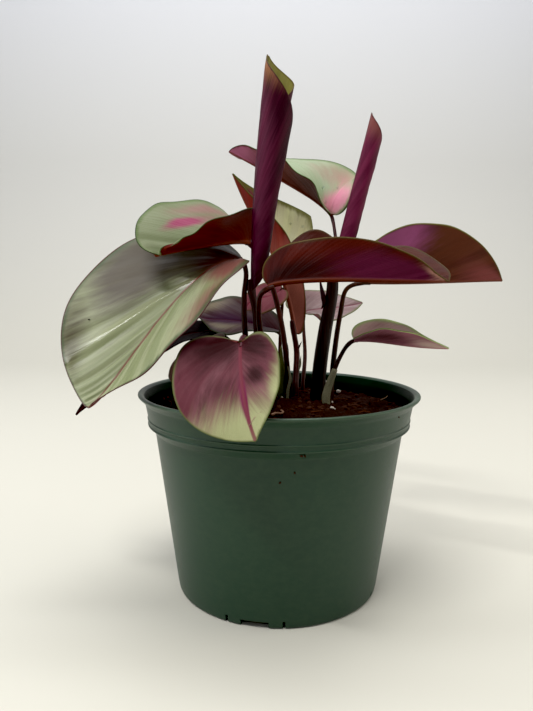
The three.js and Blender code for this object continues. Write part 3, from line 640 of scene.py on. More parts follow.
# Each leaf: its upper face, its underside and the colour of its stalk.
dress = {
    # The largest leaf's shade colour gives its dark mottling, and at the base, where the shade patch lays it
    # on, it is painted shadow cast by the leaf above.
    "leaf_left_large": (
        look("#777e57", "#979b79", "#300e02", "#6f443b", "#3c3118", "#304118", "#70382c", "#4c2420",
             7, 1.2, 0.4, shine=0.5, banded=0.7, relief=0.12, band_taper=2.5),
        look("#6a2c2c", "#783a38", "#451a1c", "#7a4050", "#5c3a30", "#5c4a34", "#7c4440", "#5a4a2a",
             1.5, 1.2, 0.4),
        "#40190f"),
    "leaf_left_upper": (
        look("#717958", "#868c6e", "#5c5036", "#94405e", "#8c6a62", "#566a38", "#7a4a40", "#34421c",
             3, 1.0, 0.35),
        look("#5e1a10", "#7a2819", "#300804", "#853643", "#9c4621", "#581b0b", "#7a3114", "#44200f",
             1.5, 1.2, 0.4),
        "#44190c"),
    "leaf_rolled_tall": (
        look("#80793f", "#94904c", "#5a4a20", "#8d5038", "#80603a", "#6c6430", "#6a5628", "#5a4a20",
             2, 1.0, 0.4),
        look("#2d0314", "#4d0f28", "#110107", "#74304c", "#9a6a44", "#380a1e", "#4c1a34", "#3a1414",
             1.0, 1.2, 0.38),
        "#3a1010"),
    "leaf_rolled_right": (
        look("#6e6a34", "#808046", "#4a3a1c", "#5a2a30", "#6a4a30", "#5c5a24", "#5a3a24", "#4a3a1c",
             2, 1.0, 0.4),
        look("#54132e", "#752846", "#280511", "#803050", "#794440", "#430c23", "#561d38", "#4e191b",
             1.0, 1.2, 0.38),
        "#200a06"),
    # The pink flush on the upper face of the back top leaf is its own colour, painted brighter as painted
    # light.
    "leaf_back_top": (
        look("#8d9e7a", "#9ca58a", "#7c8462", "#d9899f", "#a78077", "#64784a", "#8a5a52", "#4a5a2c",
             2, 0.8, 0.35),
        look("#582217", "#6c3830", "#3a1409", "#6e3a40", "#a45f79", "#4a1e12", "#6a3428", "#3a2010",
             1.5, 1.2, 0.42),
        "#46191a"),
    "leaf_front_folded": (
        look("#3e1105", "#4d1e09", "#220501", "#4c141f", "#592c2a", "#3c240e", "#4d2109", "#4a3c1a",
             2, 1.0, 0.4),
        look("#390602", "#531406", "#1d0201", "#4f112b", "#bc8d79", "#3c240e", "#5c2410", "#54461f",
             1.5, 1.4, 0.4),
        "#3c140a"),
    "leaf_right_folded": (
        look("#6a3a2c", "#784636", "#40180e", "#7c4a58", "#7a4038", "#54401f", "#6a3a2c", "#6a6234",
             1.5, 1.0, 0.42),
        look("#4e2418", "#663622", "#38130a", "#9f537e", "#7e403e", "#54401f", "#6a3a2c", "#6e6a38",
             1.5, 1.2, 0.42),
        "#40200e"),
    "leaf_front_heart": (
        look("#5d2e36", "#754a50", "#2a0508", "#64133b", "#95976c", "#6c6c48", "#692f38", "#5a6238",
             1.5, 1.1, 0.38, clouded=0.6, grainy=0.4, shine=0.1),
        look("#5a2424", "#6a3030", "#3a1214", "#7a4050", "#5c3a30", "#4c3a24", "#6c3430", "#5a4a2a",
             1.5, 1.2, 0.42),
        "#4c1c22"),
    "leaf_middle_purple": (
        look("#502b2e", "#6c5e60", "#2a1014", "#441238", "#9b9074", "#444c34", "#542438", "#3c4424",
             3, 0.9, 0.35),
        look("#3c100e", "#4c1a16", "#1e0604", "#501c34", "#4a2a20", "#3a2414", "#4c1e18", "#4a3c1c",
             1.5, 1.2, 0.42),
        "#3c120e"),
    "leaf_low_left": (
        look("#4c261a", "#5c3424", "#301008", "#5c2c2c", "#6a4a38", "#4a3c24", "#5c2c20", "#54482a",
             2, 0.9, 0.42),
        look("#4c1c14", "#5c2820", "#2c0c08", "#5a2430", "#5a3424", "#4a2c1a", "#5c2820", "#4a3c1c",
             1.5, 1.2, 0.42),
        "#3c120e"),
    # The upper face of the upright back leaf is painted near white: painted light, the glow of light shining
    # through it from behind.
    "leaf_back_upright": (
        look("#ebebb6", "#e1deba", "#6c6438", "#8a4a50", "#d8dabb", "#7c7c38", "#8a6a52", "#5c642c",
             4, 0.9, 0.35),
        look("#872b23", "#743432", "#3c0e0a", "#7a4648", "#9a5a4c", "#5a2c1c", "#7c3c2c", "#5a4a24",
             1.5, 1.3, 0.42),
        "#481810"),
    "leaf_back_small": (
        look("#876d6c", "#a79595", "#643c3f", "#7a4551", "#ada29c", "#767158", "#7a4551", "#626841",
             2, 0.8, 0.38),
        look("#5a2c2e", "#6a3c3c", "#3a1616", "#6c3446", "#5c3a30", "#4c3424", "#6c3430", "#4a3c1c",
             1.5, 1.0, 0.42),
        "#4c1e14"),
    # The small right leaf stands in shade, and both its faces are painted much lighter than its tissue: painted
    # light.
    "leaf_right_small": (
        look("#a9887f", "#c1ad9c", "#764749", "#a66070", "#bec19c", "#8ea061", "#91565b", "#768843",
             2.5, 0.8, 0.38),
        look("#925a67", "#b27582", "#592d31", "#e1a2b8", "#d3b8ab", "#ab997e", "#af7575", "#c8dc94",
             1.0, 1.0, 0.42),
        "#2c1209"),
    # The upper face of the hidden leaf is painted nearly black with almost no shine: painted shade, deep under
    # the other leaves.
    "leaf_left_hidden": (
        look("#0c0101", "#140201", "#050000", "#190202", "#200402", "#100201", "#290402", "#140301",
             1.5, 0.9, 0.42, shine=0.03),
        look("#4a1712", "#5c221c", "#2a0c08", "#5a2420", "#5c2c24", "#3c1c10", "#6a2c22", "#4a3020",
             1.5, 1.1, 0.42),
        "#2c0c08"),
    "leaf_middle_small": (
        look("#8d4851", "#b36b71", "#5d222b", "#902c50", "#bf8983", "#835f4a", "#90364a", "#725a38",
             2, 0.8, 0.38),
        look("#4c2024", "#5c2c30", "#2c1012", "#6a3440", "#5c3a30", "#4c3424", "#6c3430", "#4a3c1c",
             1.5, 1.0, 0.42),
        "#48260f"),
}
print("faces dressed:", 2 * len(dress))


# %% Material of a stalk
# A petiole is smooth and firm like a thin rush, with lengthwise fibres under the skin that give a soft sheen,
# and it is darker towards its foot.
FIBRE_WIDTH = 0.8
FIBRE_STRETCH = 0.08


def stalk_skin(name, tone):
    """Skin of a stalk: its colour, fine lengthwise fibres and a darker foot."""
    material, tree = new_material(name)
    place = add(tree, "ShaderNodeAttribute", attribute_name="t").outputs["Fac"]
    coordinates = add(tree, "ShaderNodeTexCoord").outputs["Object"]
    stretch = add(tree, "ShaderNodeMapping", {"Vector": coordinates, "Scale": (1.0, 1.0, FIBRE_STRETCH)})
    fibres = add(tree, "ShaderNodeTexNoise", {
        "Vector": stretch.outputs["Vector"], "Scale": 1 / (FIBRE_WIDTH * MM), "Detail": 2.0})
    dark = [c * 0.45 for c in colour(tone)[:3]] + [1.0]
    light = [c * 1.25 for c in colour(tone)[:3]] + [1.0]
    stripe = add(tree, "ShaderNodeMapRange", {
        "Value": fibres.outputs["Fac"], "From Min": 0.35, "From Max": 0.7})
    stripes = add(tree, "ShaderNodeMix", {0: stripe.outputs["Result"], 6: dark, 7: light}, data_type="RGBA")
    low = add(tree, "ShaderNodeMapRange", {"Value": place, "From Min": 0.65, "From Max": 0.1, "To Max": 0.75})
    tint = add(tree, "ShaderNodeMix", {0: low.outputs["Result"], 6: stripes.outputs[2], 7: colour("#150906")},
               data_type="RGBA")
    bump = add(tree, "ShaderNodeBump", {
        "Height": fibres.outputs["Fac"], "Strength": 0.3, "Distance": 0.2 * MM})
    shader = add(tree, "ShaderNodeBsdfPrincipled", {
        "Base Color": tint.outputs[2], "Roughness": 0.42, "Normal": bump.outputs["Normal"],
        "Specular IOR Level": 0.2})
    add(tree, "ShaderNodeOutputMaterial", {"Surface": shader.outputs["BSDF"]})
    return material


# %% Patches
# Each patch: which colour, on which face, its place t and across, its reach in both, and its strength.
UPPER, LOWER = 0, 1
patches = {
    # The first shade patch of the largest leaf, at its base, is painted shadow cast by the leaf above.
    "leaf_left_large": [
        ("shade", UPPER, 0.05, 0.25, 0.27, 0.75, 1.3), ("bloom", UPPER, 0.34, 0.66, 0.24, 0.42, 1.35),
        ("bloom", UPPER, 0.7, 0.85, 0.22, 0.3, 0.75), ("flush", UPPER, 0.12, -0.6, 0.16, 0.7, 1.2),
        ("flush", UPPER, 0.34, -0.95, 0.2, 0.4, 0.8)],
    "leaf_left_upper": [
        ("flush", UPPER, 0.46, 0.5, 0.15, 0.11, 1.2), ("bloom", UPPER, 0.3, 0.75, 0.25, 0.15, 0.9),
        ("bloom", UPPER, 0.2, 0.4, 0.2, 0.3, 0.8), ("bloom", LOWER, 0.02, 0.1, 0.12, 0.3, 1.0)],
    "leaf_rolled_tall": [
        ("bloom", LOWER, 1.0, -1.0, 0.14, 3.0, 0.9), ("flush", LOWER, 0.6, -0.3, 0.8, 0.35, 0.5)],
    "leaf_rolled_right": [
        ("bloom", LOWER, 1.0, -1.0, 0.16, 3.0, 1.2)],
    "leaf_back_top": [
        ("flush", UPPER, 0.08, 0.5, 0.13, 0.8, 1.0), ("bloom", UPPER, 0.25, 0.75, 0.2, 0.4, 0.7),
        ("shade", LOWER, 0.25, -0.5, 0.3, 0.9, 0.8), ("bloom", LOWER, 0.9, -0.3, 0.3, 1.0, 1.1)],
    "leaf_front_folded": [
        ("flush", LOWER, 0.68, 0.3, 0.28, 0.5, 1.3), ("bloom", LOWER, 0.95, 0.2, 0.14, 0.9, 1.3),
        ("shade", LOWER, 0.2, 0.3, 0.3, 0.4, 0.8)],
    "leaf_right_folded": [
        ("flush", LOWER, 0.18, 0.9, 0.22, 0.5, 1.5), ("bloom", LOWER, 0.9, 0.2, 0.28, 0.5, 1.0)],
    "leaf_front_heart": [
        ("bloom", UPPER, 1.05, 0.2, 0.4, 3.0, 1.4), ("bloom", UPPER, 0.55, -1.0, 0.25, 0.35, 1.0),
        ("shade", UPPER, 0.0, 0.5, 0.34, 0.6, 1.1), ("shade", UPPER, 0.0, -0.5, 0.34, 0.6, 1.1),
        ("shade", UPPER, 0.42, -0.35, 0.12, 0.3, 1.0), ("shade", UPPER, 0.45, 0.35, 0.2, 0.3, 0.6),
        ("flush", UPPER, 0.68, -0.02, 0.26, 0.09, 1.4), ("flush", UPPER, 0.3, 0.0, 0.25, 0.05, 0.5)],
    "leaf_middle_purple": [
        ("flush", UPPER, 0.5, 0.0, 0.4, 0.4, 1.0), ("bloom", UPPER, 0.7, 0.8, 0.3, 0.4, 0.8),
        ("bloom", UPPER, 0.6, -0.5, 0.3, 0.3, 0.8), ("shade", UPPER, 0.1, 0.0, 0.2, 1.0, 0.2)],
    "leaf_back_upright": [
        ("bloom", UPPER, 0.4, 0.3, 0.2, 0.4, 0.9), ("bloom", LOWER, 0.1, 0.0, 0.42, 2.0, 1.2),
        ("flush", UPPER, 0.95, 0.3, 0.24, 2.0, 1.3)],
    "leaf_right_small": [
        ("shade", LOWER, 0.4, 0.5, 0.3, 0.4, 0.8), ("bloom", LOWER, 0.9, 0.3, 0.25, 0.6, 0.8)],
}


def patch_strength(leaf_name, mask, values):
    """Strength of a mask at every point of a blade: the strongest of its patches."""
    total = np.zeros_like(values["t"])
    for which, face, t, across, reach_t, reach_across, strength in patches.get(leaf_name, []):
        if which == mask:
            near = ((values["t"] - t) / reach_t) ** 2 + ((values["across"] - across) / reach_across) ** 2
            total = np.maximum(total, strength * np.exp(-near) * (values["underside"] == face))
    return np.minimum(total, 1)


print("patches:", sum(len(spots) for spots in patches.values()))


# %% Build the leaves
def build_leaf(leaf):
    """Blade and stalk as one object in place of the plain solid."""
    vertices, (top, bottom, rim), values = blade_sheet(leaf)
    stalk_vertices, stalk_faces, stalk_t = stalk(leaf)
    offset = len(vertices)
    faces = [tuple(f) for f in np.concatenate([top, bottom, rim]).tolist()]
    faces += [tuple(k + offset for k in face) for face in stalk_faces]
    name = leaf["name"]
    made = mesh_object(name.replace("leaf_", "foliage_"), np.concatenate([vertices, stalk_vertices]), faces)
    for mask in masks:
        values[mask] = patch_strength(name, mask, values)
    values["band_mm"] = values["edge_mm"] * (1 + dress[name][0].get("band_taper", 0) * values["t"])
    for key, value in values.items():
        layer = made.data.attributes.new(key, "FLOAT", "POINT")
        tail = stalk_t if key == "t" else np.zeros(len(stalk_t))
        layer.data.foreach_set("value", np.concatenate([value, tail]).astype(np.float32))
    upper, lower, stem = dress[name]
    made.data.materials.append(leaf_skin("waxy_upper_skin_" + name[5:], upper))
    made.data.materials.append(leaf_skin("wine_red_underside_" + name[5:], lower))
    made.data.materials.append(stalk_skin("stalk_skin_" + name[5:], stem))
    slots = np.concatenate([
        np.zeros(len(top)), np.ones(len(bottom)), np.zeros(len(rim)), np.full(len(stalk_faces), 2)])
    made.data.polygons.foreach_set("material_index", slots.astype(np.int32))
    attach(made, "root")
    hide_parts(name)
    return made


foliage = [build_leaf(item) for item in leaves]
print("triangles of the foliage:", sum(len(p.vertices) - 2 for made in foliage for p in made.data.polygons))

# %% [markdown]
# ## The pot
#
# A nursery pot is injection-moulded polypropylene, dark green all through. It has a rolled lip to lift it by,
# a band under the lip with two fine beads, a tapering wall, and a foot with notches that let water out. It is
# turned from its profile like work on a lathe, with small arcs at the corners, because real moulds have no
# sharp corners and those arcs are what catches the light.

# %% Turned profile
POT_SECTORS = 288


def lathe(profile, sectors=POT_SECTORS):
    """Vertices and faces of a closed turned body; the profile's ends lie on the axis."""
    vertices, rings = [], []
    for radius, height in profile:
        if radius == 0:
            rings.append([len(vertices)] * sectors)
            vertices.append((0, 0, height))
            continue
        rings.append(list(range(len(vertices), len(vertices) + sectors)))
        for k in range(sectors):
            angle = 2 * math.pi * k / sectors
            vertices.append((radius * math.cos(angle), radius * math.sin(angle), height))
    faces = []
    for lower, upper in zip(rings, rings[1:]):
        for k in range(sectors):
            corners = [lower[k], lower[(k + 1) % sectors], upper[(k + 1) % sectors], upper[k]]
            faces.append(tuple(dict.fromkeys(corners)))
    return vertices, faces


def rounded(profile, radius, steps=4):
    """Replace the inner corners of a profile by small arcs."""
    points = [np.array(p, float) for p in profile]
    made = [tuple(points[0])]
    for before, corner, after in zip(points, points[1:], points[2:]):
        reach = min(radius, np.linalg.norm(before - corner) * 0.45, np.linalg.norm(after - corner) * 0.45)
        start = corner + (before - corner) / np.linalg.norm(before - corner) * reach
        finish = corner + (after - corner) / np.linalg.norm(after - corner) * reach
        for u in np.linspace(0, 1, steps + 1):
            made.append(tuple((1 - u) ** 2 * start + 2 * u * (1 - u) * corner + u ** 2 * finish))
    return made + [tuple(points[-1])]


# %% Pot body with its notches
FOOT_RADIUS = 55
WALL_TOP, WALL_WIDENING = 87.5, 12
CORNER_RADIUS = 0.6
foot = [(0, 0), (FOOT_RADIUS - 1, 0), (FOOT_RADIUS, 1)]
wall = [(FOOT_RADIUS + WALL_WIDENING * z / WALL_TOP, z) for z in range(4, 86, 3)]
band = [(67, WALL_TOP), (70.3, 91), (70.9, 91.3), (70.9, 91.8), (70.45, 92.1), (70.6, 94), (71.1, 94.3),
        (71.1, 94.8), (70.75, 95.1), (72.2, 103)]
lip = [(74.4, 105.4), (75.7, 106.5), (76, 107), (75.9, 107.6), (75, 108), (73.6, 107.7), (72.3, 106.4)]
inner_wall = [(70.8, 103), (68.9, 91), (65.6, WALL_TOP), (53.8, 1.6), (0, 1.6)]
pot_vertices, pot_faces = lathe(rounded([*foot, *wall, *band, *lip, *inner_wall], CORNER_RADIUS))
pot = mesh_object("nursery_pot", pot_vertices, pot_faces)


def notch_corners(width, tall, angle, offset):
    """Corners of a box that cuts a drainage notch through the foot, at an angle in degrees around the pot."""
    depth = 9
    turn = np.array(Matrix.Rotation(math.radians(angle), 3, "Z"))
    return [turn @ np.array((FOOT_RADIUS + x * depth / 2, offset + y * width / 2, z * tall))
            for x in (-1, 1) for y in (-1, 1) for z in (-0.2, 1)]


box_faces = np.array([(0, 1, 3, 2), (4, 6, 7, 5), (0, 4, 5, 1), (2, 3, 7, 6), (0, 2, 6, 4), (1, 5, 7, 3)])
FIRST_NOTCH_ANGLE = -102.5
# Width, height and sideways place of each cut: one wide notch between two narrow slots.
foot_cuts = [(14, 3.6, 0), (1.4, 4.2, -14.3), (1.4, 4.2, 14.3)]
boxes = [notch_corners(width, tall, FIRST_NOTCH_ANGLE + 90 * quarter, offset)
         for quarter in range(4) for width, tall, offset in foot_cuts]
cutter = mesh_object("notches", np.concatenate(boxes), [
    tuple(face) for k in range(len(boxes)) for face in (box_faces + 8 * k).tolist()], smooth=False)
step = pot.modifiers.new("notches", "BOOLEAN")
step.operation, step.object, step.solver = "DIFFERENCE", cutter, "EXACT"
with bpy.context.temp_override(object=pot, active_object=pot):
    bpy.ops.object.modifier_apply(modifier=step.name)
bpy.data.objects.remove(cutter)
print("pot faces:", len(pot.data.polygons))


# %% Painted highlight on the beads and the lip
BEAD_HEIGHTS = (91.5, 94.5)
INNER_FLOOR, LIP_TOP = 1.2, 107


def bead_and_lip_highlight(x, y, z):
    """How much painted highlight the plastic gets at a point in mm: the two beads and the lip are painted
    paler.
    """
    radius = math.hypot(x, y)
    beads = max(math.exp(-((z - height) / 0.35) ** 2) for height in BEAD_HEIGHTS) * (radius > 70.2)
    lip = min(max((z - 105.6) / 1.6, 0), 1) * (radius > 73)
    return max(beads, lip)


# Painted highlight: the beads and the lip are made paler where they catch the light.
painted_highlight = pot.data.attributes.new("painted_highlight", "FLOAT", "POINT")
painted_highlight.data.foreach_set("value", [bead_and_lip_highlight(*(v.co / MM)) for v in pot.data.vertices])
inside = [p.normal.x * p.center.x + p.normal.y * p.center.y < -0.3 * math.hypot(p.center.x, p.center.y)
          and INNER_FLOOR * MM < p.center.z < LIP_TOP * MM for p in pot.data.polygons]
print("faces inside the pot:", sum(inside))


# %% Moulded polypropylene
# Satin moulded plastic: an even dark green, a fine tooling grain, faint dust, a pale sheen at grazing angles,
# and a painted highlight that makes the two beads and the lip paler. The inside is the same plastic painted
# darker as painted shade inside the pot, and it hardly shines.
TOOLING_GRAIN = 0.6
DUST_CLOUD = 30
HIGHLIGHT_GREEN = "#5d6c55"


def moulded_plastic(name, clean, dusty, shine):
    """Green polypropylene with dust, a painted highlight on the beads and the lip, and a tooling grain."""
    material, tree = new_material(name)
    tooling = add(tree, "ShaderNodeTexNoise", {
        "Scale": 1 / (TOOLING_GRAIN * MM), "Detail": 2.0}).outputs["Fac"]
    dust = add(tree, "ShaderNodeTexNoise", {
        "Scale": 1 / (DUST_CLOUD * MM), "Detail": 5.0, "Roughness": 0.65}).outputs["Fac"]
    amount = add(tree, "ShaderNodeMapRange", {
        "Value": dust, "From Min": 0.4, "From Max": 0.8, "To Max": 0.3})
    # Painted highlight on the beads and the lip, mixed into the plastic's colour below.
    highlight_mask = add(tree, "ShaderNodeAttribute", attribute_name="painted_highlight")
    pale = add(tree, "ShaderNodeMapRange", {"Value": highlight_mask.outputs["Fac"], "To Max": 0.2})
    tone = add(tree, "ShaderNodeMix", {0: amount.outputs["Result"], 6: colour(clean), 7: colour(dusty)},
               data_type="RGBA")
    tone = add(tree, "ShaderNodeMix", {
        0: pale.outputs["Result"], 6: tone.outputs[2], 7: colour(HIGHLIGHT_GREEN)}, data_type="RGBA")
    bump = add(tree, "ShaderNodeBump", {"Height": tooling, "Strength": 0.15, "Distance": 0.1 * MM})
    rough = add(tree, "ShaderNodeMath", {0: dust, 1: 0.15, 2: 0.34}, operation="MULTIPLY_ADD")
    shader = add(tree, "ShaderNodeBsdfPrincipled", {
        "Base Color": tone.outputs[2], "Roughness": rough.outputs[0], "Normal": bump.outputs["Normal"],
        "IOR": 1.49, "Specular IOR Level": shine})
    add(tree, "ShaderNodeOutputMaterial", {"Surface": shader.outputs["BSDF"]})
    return material


pot.data.materials.clear()
pot.data.materials.append(moulded_plastic("moulded_green_polypropylene", "#163522", "#3a4c35", 0.4))
# The inside is the same plastic painted much darker: painted shade inside the pot.
pot.data.materials.append(moulded_plastic("shaded_inner_polypropylene", "#071c0c", "#0e1c12", 0.05))
# The inside takes the darker finish, painted shade. The indices come last, because clearing the slots resets
# them.
pot.data.polygons.foreach_set("material_index", [int(flag) for flag in inside])
print("finishes of the pot:", len(pot.data.materials))
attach(pot, "root")
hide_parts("pot")

# %% [markdown]
# ## Potting mix
#
# The soil is dark peat with crumbs, reddish fibres and a few white grains of perlite. Its top could be one
# noisy disc, but at this distance single crumbs cast shadows, so a fine disc is moved up and down by noise of
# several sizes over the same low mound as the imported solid, and separate pieces are strewn on it from a fixed
# seed.

# %% Height of the soil
random.seed(11)
MOUND_X, MOUND_Y = 6, 12
MOUND_HEIGHT, MOUND_SPREAD = 4.5, 30
LUMP_HEIGHT = 0.9
COARSE_CRUMB, FINE_CRUMB = 1.1, 0.5


def soil_height(x, y):
    """Height of the packed soil's top at a place."""
    mound = MOUND_HEIGHT * math.exp(-((math.hypot(x - MOUND_X, y - MOUND_Y) / MOUND_SPREAD) ** 2))
    lump = math.sin(x * 0.31 + 1) * math.cos(y * 0.37) + 0.6 * math.sin(x * 0.7 - y * 0.53)
    return SOIL_RIM + mound + LUMP_HEIGHT * lump


def crumbly_height(x, y):
    """The same with crumbs of peat."""
    coarse = noise.fractal(Vector((x * 0.25, y * 0.25, 3.0)), 0.9, 2.1, 4)
    fine = noise.fractal(Vector((x * 0.9, y * 0.9, 8.0)), 0.8, 2.0, 3)
    return soil_height(x, y) - 0.4 + COARSE_CRUMB * coarse + FINE_CRUMB * fine


print("top of the mound in mm:", round(soil_height(MOUND_X, MOUND_Y), 1))

# %% Soil surface
SOIL_EDGE = 69.3
soil_rings, soil_sectors = 84, 420
soil_vertices = [(0, 0, crumbly_height(0, 0))]
for ring in range(1, soil_rings + 1):
    radius = SOIL_EDGE * ring / soil_rings
    for k in range(soil_sectors):
        angle = 2 * math.pi * k / soil_sectors
        x, y = radius * math.cos(angle), radius * math.sin(angle)
        soil_vertices.append((x, y, crumbly_height(x, y)))
# Below its edge the soil follows the pot's inner wall down to the floor.
for radius, height in ((68.3, 91), (64.9, 87.5), (53.4, 1.9)):
    for k in range(soil_sectors):
        angle = 2 * math.pi * k / soil_sectors
        soil_vertices.append((radius * math.cos(angle), radius * math.sin(angle), height))
soil_faces = [(0, 1 + k, 1 + (k + 1) % soil_sectors) for k in range(soil_sectors)]
for ring in range(soil_rings + 2):
    first = 1 + ring * soil_sectors
    for k in range(soil_sectors):
        a, b = first + k, first + (k + 1) % soil_sectors
        soil_faces.append((a, a + soil_sectors, b + soil_sectors, b))
soil_faces.append(tuple(range(len(soil_vertices) - 1, len(soil_vertices) - 1 - soil_sectors, -1)))
soil = mesh_object("potting_mix", soil_vertices, soil_faces)
print("soil faces:", len(soil_faces))

# %% Peat
# Moist milled peat: nearly black, dull, with brown clods a few millimetres across and no shine.
CLOD_SIZE = 3
peat, tree = new_material("moist_peat")
clods = add(tree, "ShaderNodeTexNoise", {"Scale": 1 / (CLOD_SIZE * MM), "Detail": 6.0, "Roughness": 0.7})
tint = add(tree, "ShaderNodeValToRGB", {"Fac": clods.outputs["Fac"]})
dark_end, light_end = tint.color_ramp.elements
dark_end.position, dark_end.color = 0.35, colour("#060201")
light_end.position, light_end.color = 0.75, colour("#3c1c0f")
bump = add(tree, "ShaderNodeBump", {"Height": clods.outputs["Fac"], "Strength": 0.8, "Distance": 0.8 * MM})
shader = add(tree, "ShaderNodeBsdfPrincipled", {
    "Base Color": tint.outputs["Color"], "Roughness": 0.9, "Normal": bump.outputs["Normal"],
    "Specular IOR Level": 0.1})
add(tree, "ShaderNodeOutputMaterial", {"Surface": shader.outputs["BSDF"]})
soil.data.materials.append(peat)
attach(soil, "root")
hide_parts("soil")
print("soil material:", peat.name)

# %% [markdown]
# ## Crumbs, fibres, perlite
#
# Loose pieces lie on the peat: crumbs, coir fibres, bits of bark and root, and perlite, which is volcanic
# glass puffed up by heat into white grains. Particle systems could strew them, but plain meshes are kept with
# the part. Each crumb is a ball whose points are pushed in and out by noise, and each kind is joined into one
# object.

# %% Irregular clods
ball = bmesh.new()
bmesh.ops.create_icosphere(ball, subdivisions=2, radius=1)
ball_points = np.array([v.co[:] for v in ball.verts])
ball_faces = [tuple(v.index for v in face.verts) for face in ball.faces]
ball.free()


def lump(place, size, flatness, raggedness=0.5):
    """Vertices of an irregular clod: a ball pushed in and out by noise, turned at random and flattened."""
    shift = Vector((random.uniform(0, 90), random.uniform(0, 90), 0))
    push = np.array([1 + raggedness * noise.noise(Vector(point) * 1.6 + shift) for point in ball_points])
    sides = np.array((1, random.uniform(0.55, 0.9), random.uniform(0.5, 0.8)))
    turn = np.array(Matrix.Rotation(random.uniform(0, 6.28), 3, (random.random(), random.random(), 1)))
    body = (ball_points * push[:, None] * sides) @ turn.T
    return body * size * np.array((1, 1, flatness)) + np.array(place)


print("points of one clod:", len(ball_points))


# %% Join and strew small parts
def join_parts(name, parts, material):
    """One object of many vertex and face lists, riding on the root."""
    vertices, faces = [], []
    for part_vertices, part_faces in parts:
        faces += [tuple(k + len(vertices) for k in face) for face in part_faces]
        vertices += [tuple(v) for v in part_vertices]
    made = mesh_object(name, vertices, faces)
    made.data.materials.append(material)
    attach(made, "root")
    print(name, "has", len(parts), "parts and", len(faces), "faces")
    return made


def strewn(reach):
    """A random place on the soil."""
    angle, radius = random.uniform(0, 2 * math.pi), reach * math.sqrt(random.random())
    x, y = radius * math.cos(angle), radius * math.sin(angle)
    return np.array((x, y, crumbly_height(x, y)))


# %% Dull natural matter
# Peat, bark, dry sheath and perlite share one way of looking: two mottled tones, a rough surface and hardly
# any shine. The mottling is as wide as the grain of each, in mm.
def rough_matter(name, light, dark, grain_mm, roughness=0.85):
    """A dull natural material mottled between two colours."""
    material, tree = new_material(name)
    mottle = add(tree, "ShaderNodeTexNoise", {"Scale": 1 / (grain_mm * MM), "Detail": 4.0})
    spread = add(tree, "ShaderNodeMapRange", {
        "Value": mottle.outputs["Fac"], "From Min": 0.35, "From Max": 0.65})
    tone = add(tree, "ShaderNodeMix", {0: spread.outputs["Result"], 6: colour(dark), 7: colour(light)},
               data_type="RGBA")
    bump = add(tree, "ShaderNodeBump", {
        "Height": mottle.outputs["Fac"], "Strength": 0.6, "Distance": 0.3 * MM})
    shader = add(tree, "ShaderNodeBsdfPrincipled", {
        "Base Color": tone.outputs[2], "Roughness": roughness, "Normal": bump.outputs["Normal"],
        "Specular IOR Level": 0.15})
    add(tree, "ShaderNodeOutputMaterial", {"Surface": shader.outputs["BSDF"]})
    return material


print("darkest peat in linear light:", round(colour("#120705")[0], 4))

# %% Crumbs of peat
CRUMB_COUNT, CRUMB_REACH, CRUMB_FLATNESS = 330, 66, 0.8
crumb_sizes = (0.6, 2.1)
crumbs = [(lump(strewn(CRUMB_REACH), random.uniform(*crumb_sizes), CRUMB_FLATNESS), ball_faces)
          for _ in range(CRUMB_COUNT)]
# A little soil also sticks to the outside of the pot.
SPLASH_SIZE = 0.8
splashes = [(8.9, -69.8, 90), (10.4, -69.6, 90), (56.6, -44.3, 102.4), (6.1, -65.9, 81.1),
            (-0.4, -65.4, 76.3)]
for place in splashes:
    crumbs.append((lump(place, SPLASH_SIZE, 1.0), ball_faces))
join_parts("soil_crumbs", crumbs, rough_matter("crumbled_peat", "#4c2816", "#120705", 2.2))

# %% Coir fibres
FIBRE_COUNT, FIBRE_REACH = 80, 62
fibres = []
for _ in range(FIBRE_COUNT):
    start, heading, span = strewn(FIBRE_REACH), random.uniform(0, 6.28), random.uniform(3, 11)
    half_way = np.array((math.cos(heading), math.sin(heading), 0)) * span / 2
    middle = start + half_way + (0, 0, random.uniform(0.3, 1.4))
    bend = heading + random.uniform(-0.8, 0.8)
    finish = middle + np.array((math.cos(bend), math.sin(bend), -0.1)) * span / 2
    route = smooth_route([start, middle, finish], 5)
    radius = random.uniform(0.12, 0.32)
    fibres.append(tube(route, radius * np.linspace(1, 0.5, len(route)), 6))
join_parts("coir_fibres", fibres, rough_matter("coir_fibre", "#7a4426", "#351509", 1.5))

# %% Thin roots
# One root curls out of the soil in front and one pale splinter lies at the right.
root_curl = smooth_route([(-4.2, -25.2, 98.9), (-1.8, -23.4, 99.4), (0.8, -24.2, 99.5), (1.9, -22.4, 99.9),
                          (0.9, -20.4, 100.4)], 6)
splinter = smooth_route([(60, 20, 98.6), (64, 24, 99.4), (67, 31, 100.6)], 5)
thin_roots = [tube(root_curl, 0.65 * np.linspace(1.1, 0.6, len(root_curl)), 10),
              tube(splinter, 0.35 * np.linspace(1, 0.5, len(splinter)), 8)]
join_parts("thin_roots", thin_roots, rough_matter("root_skin", "#a5836a", "#6e4c3a", 1.2))

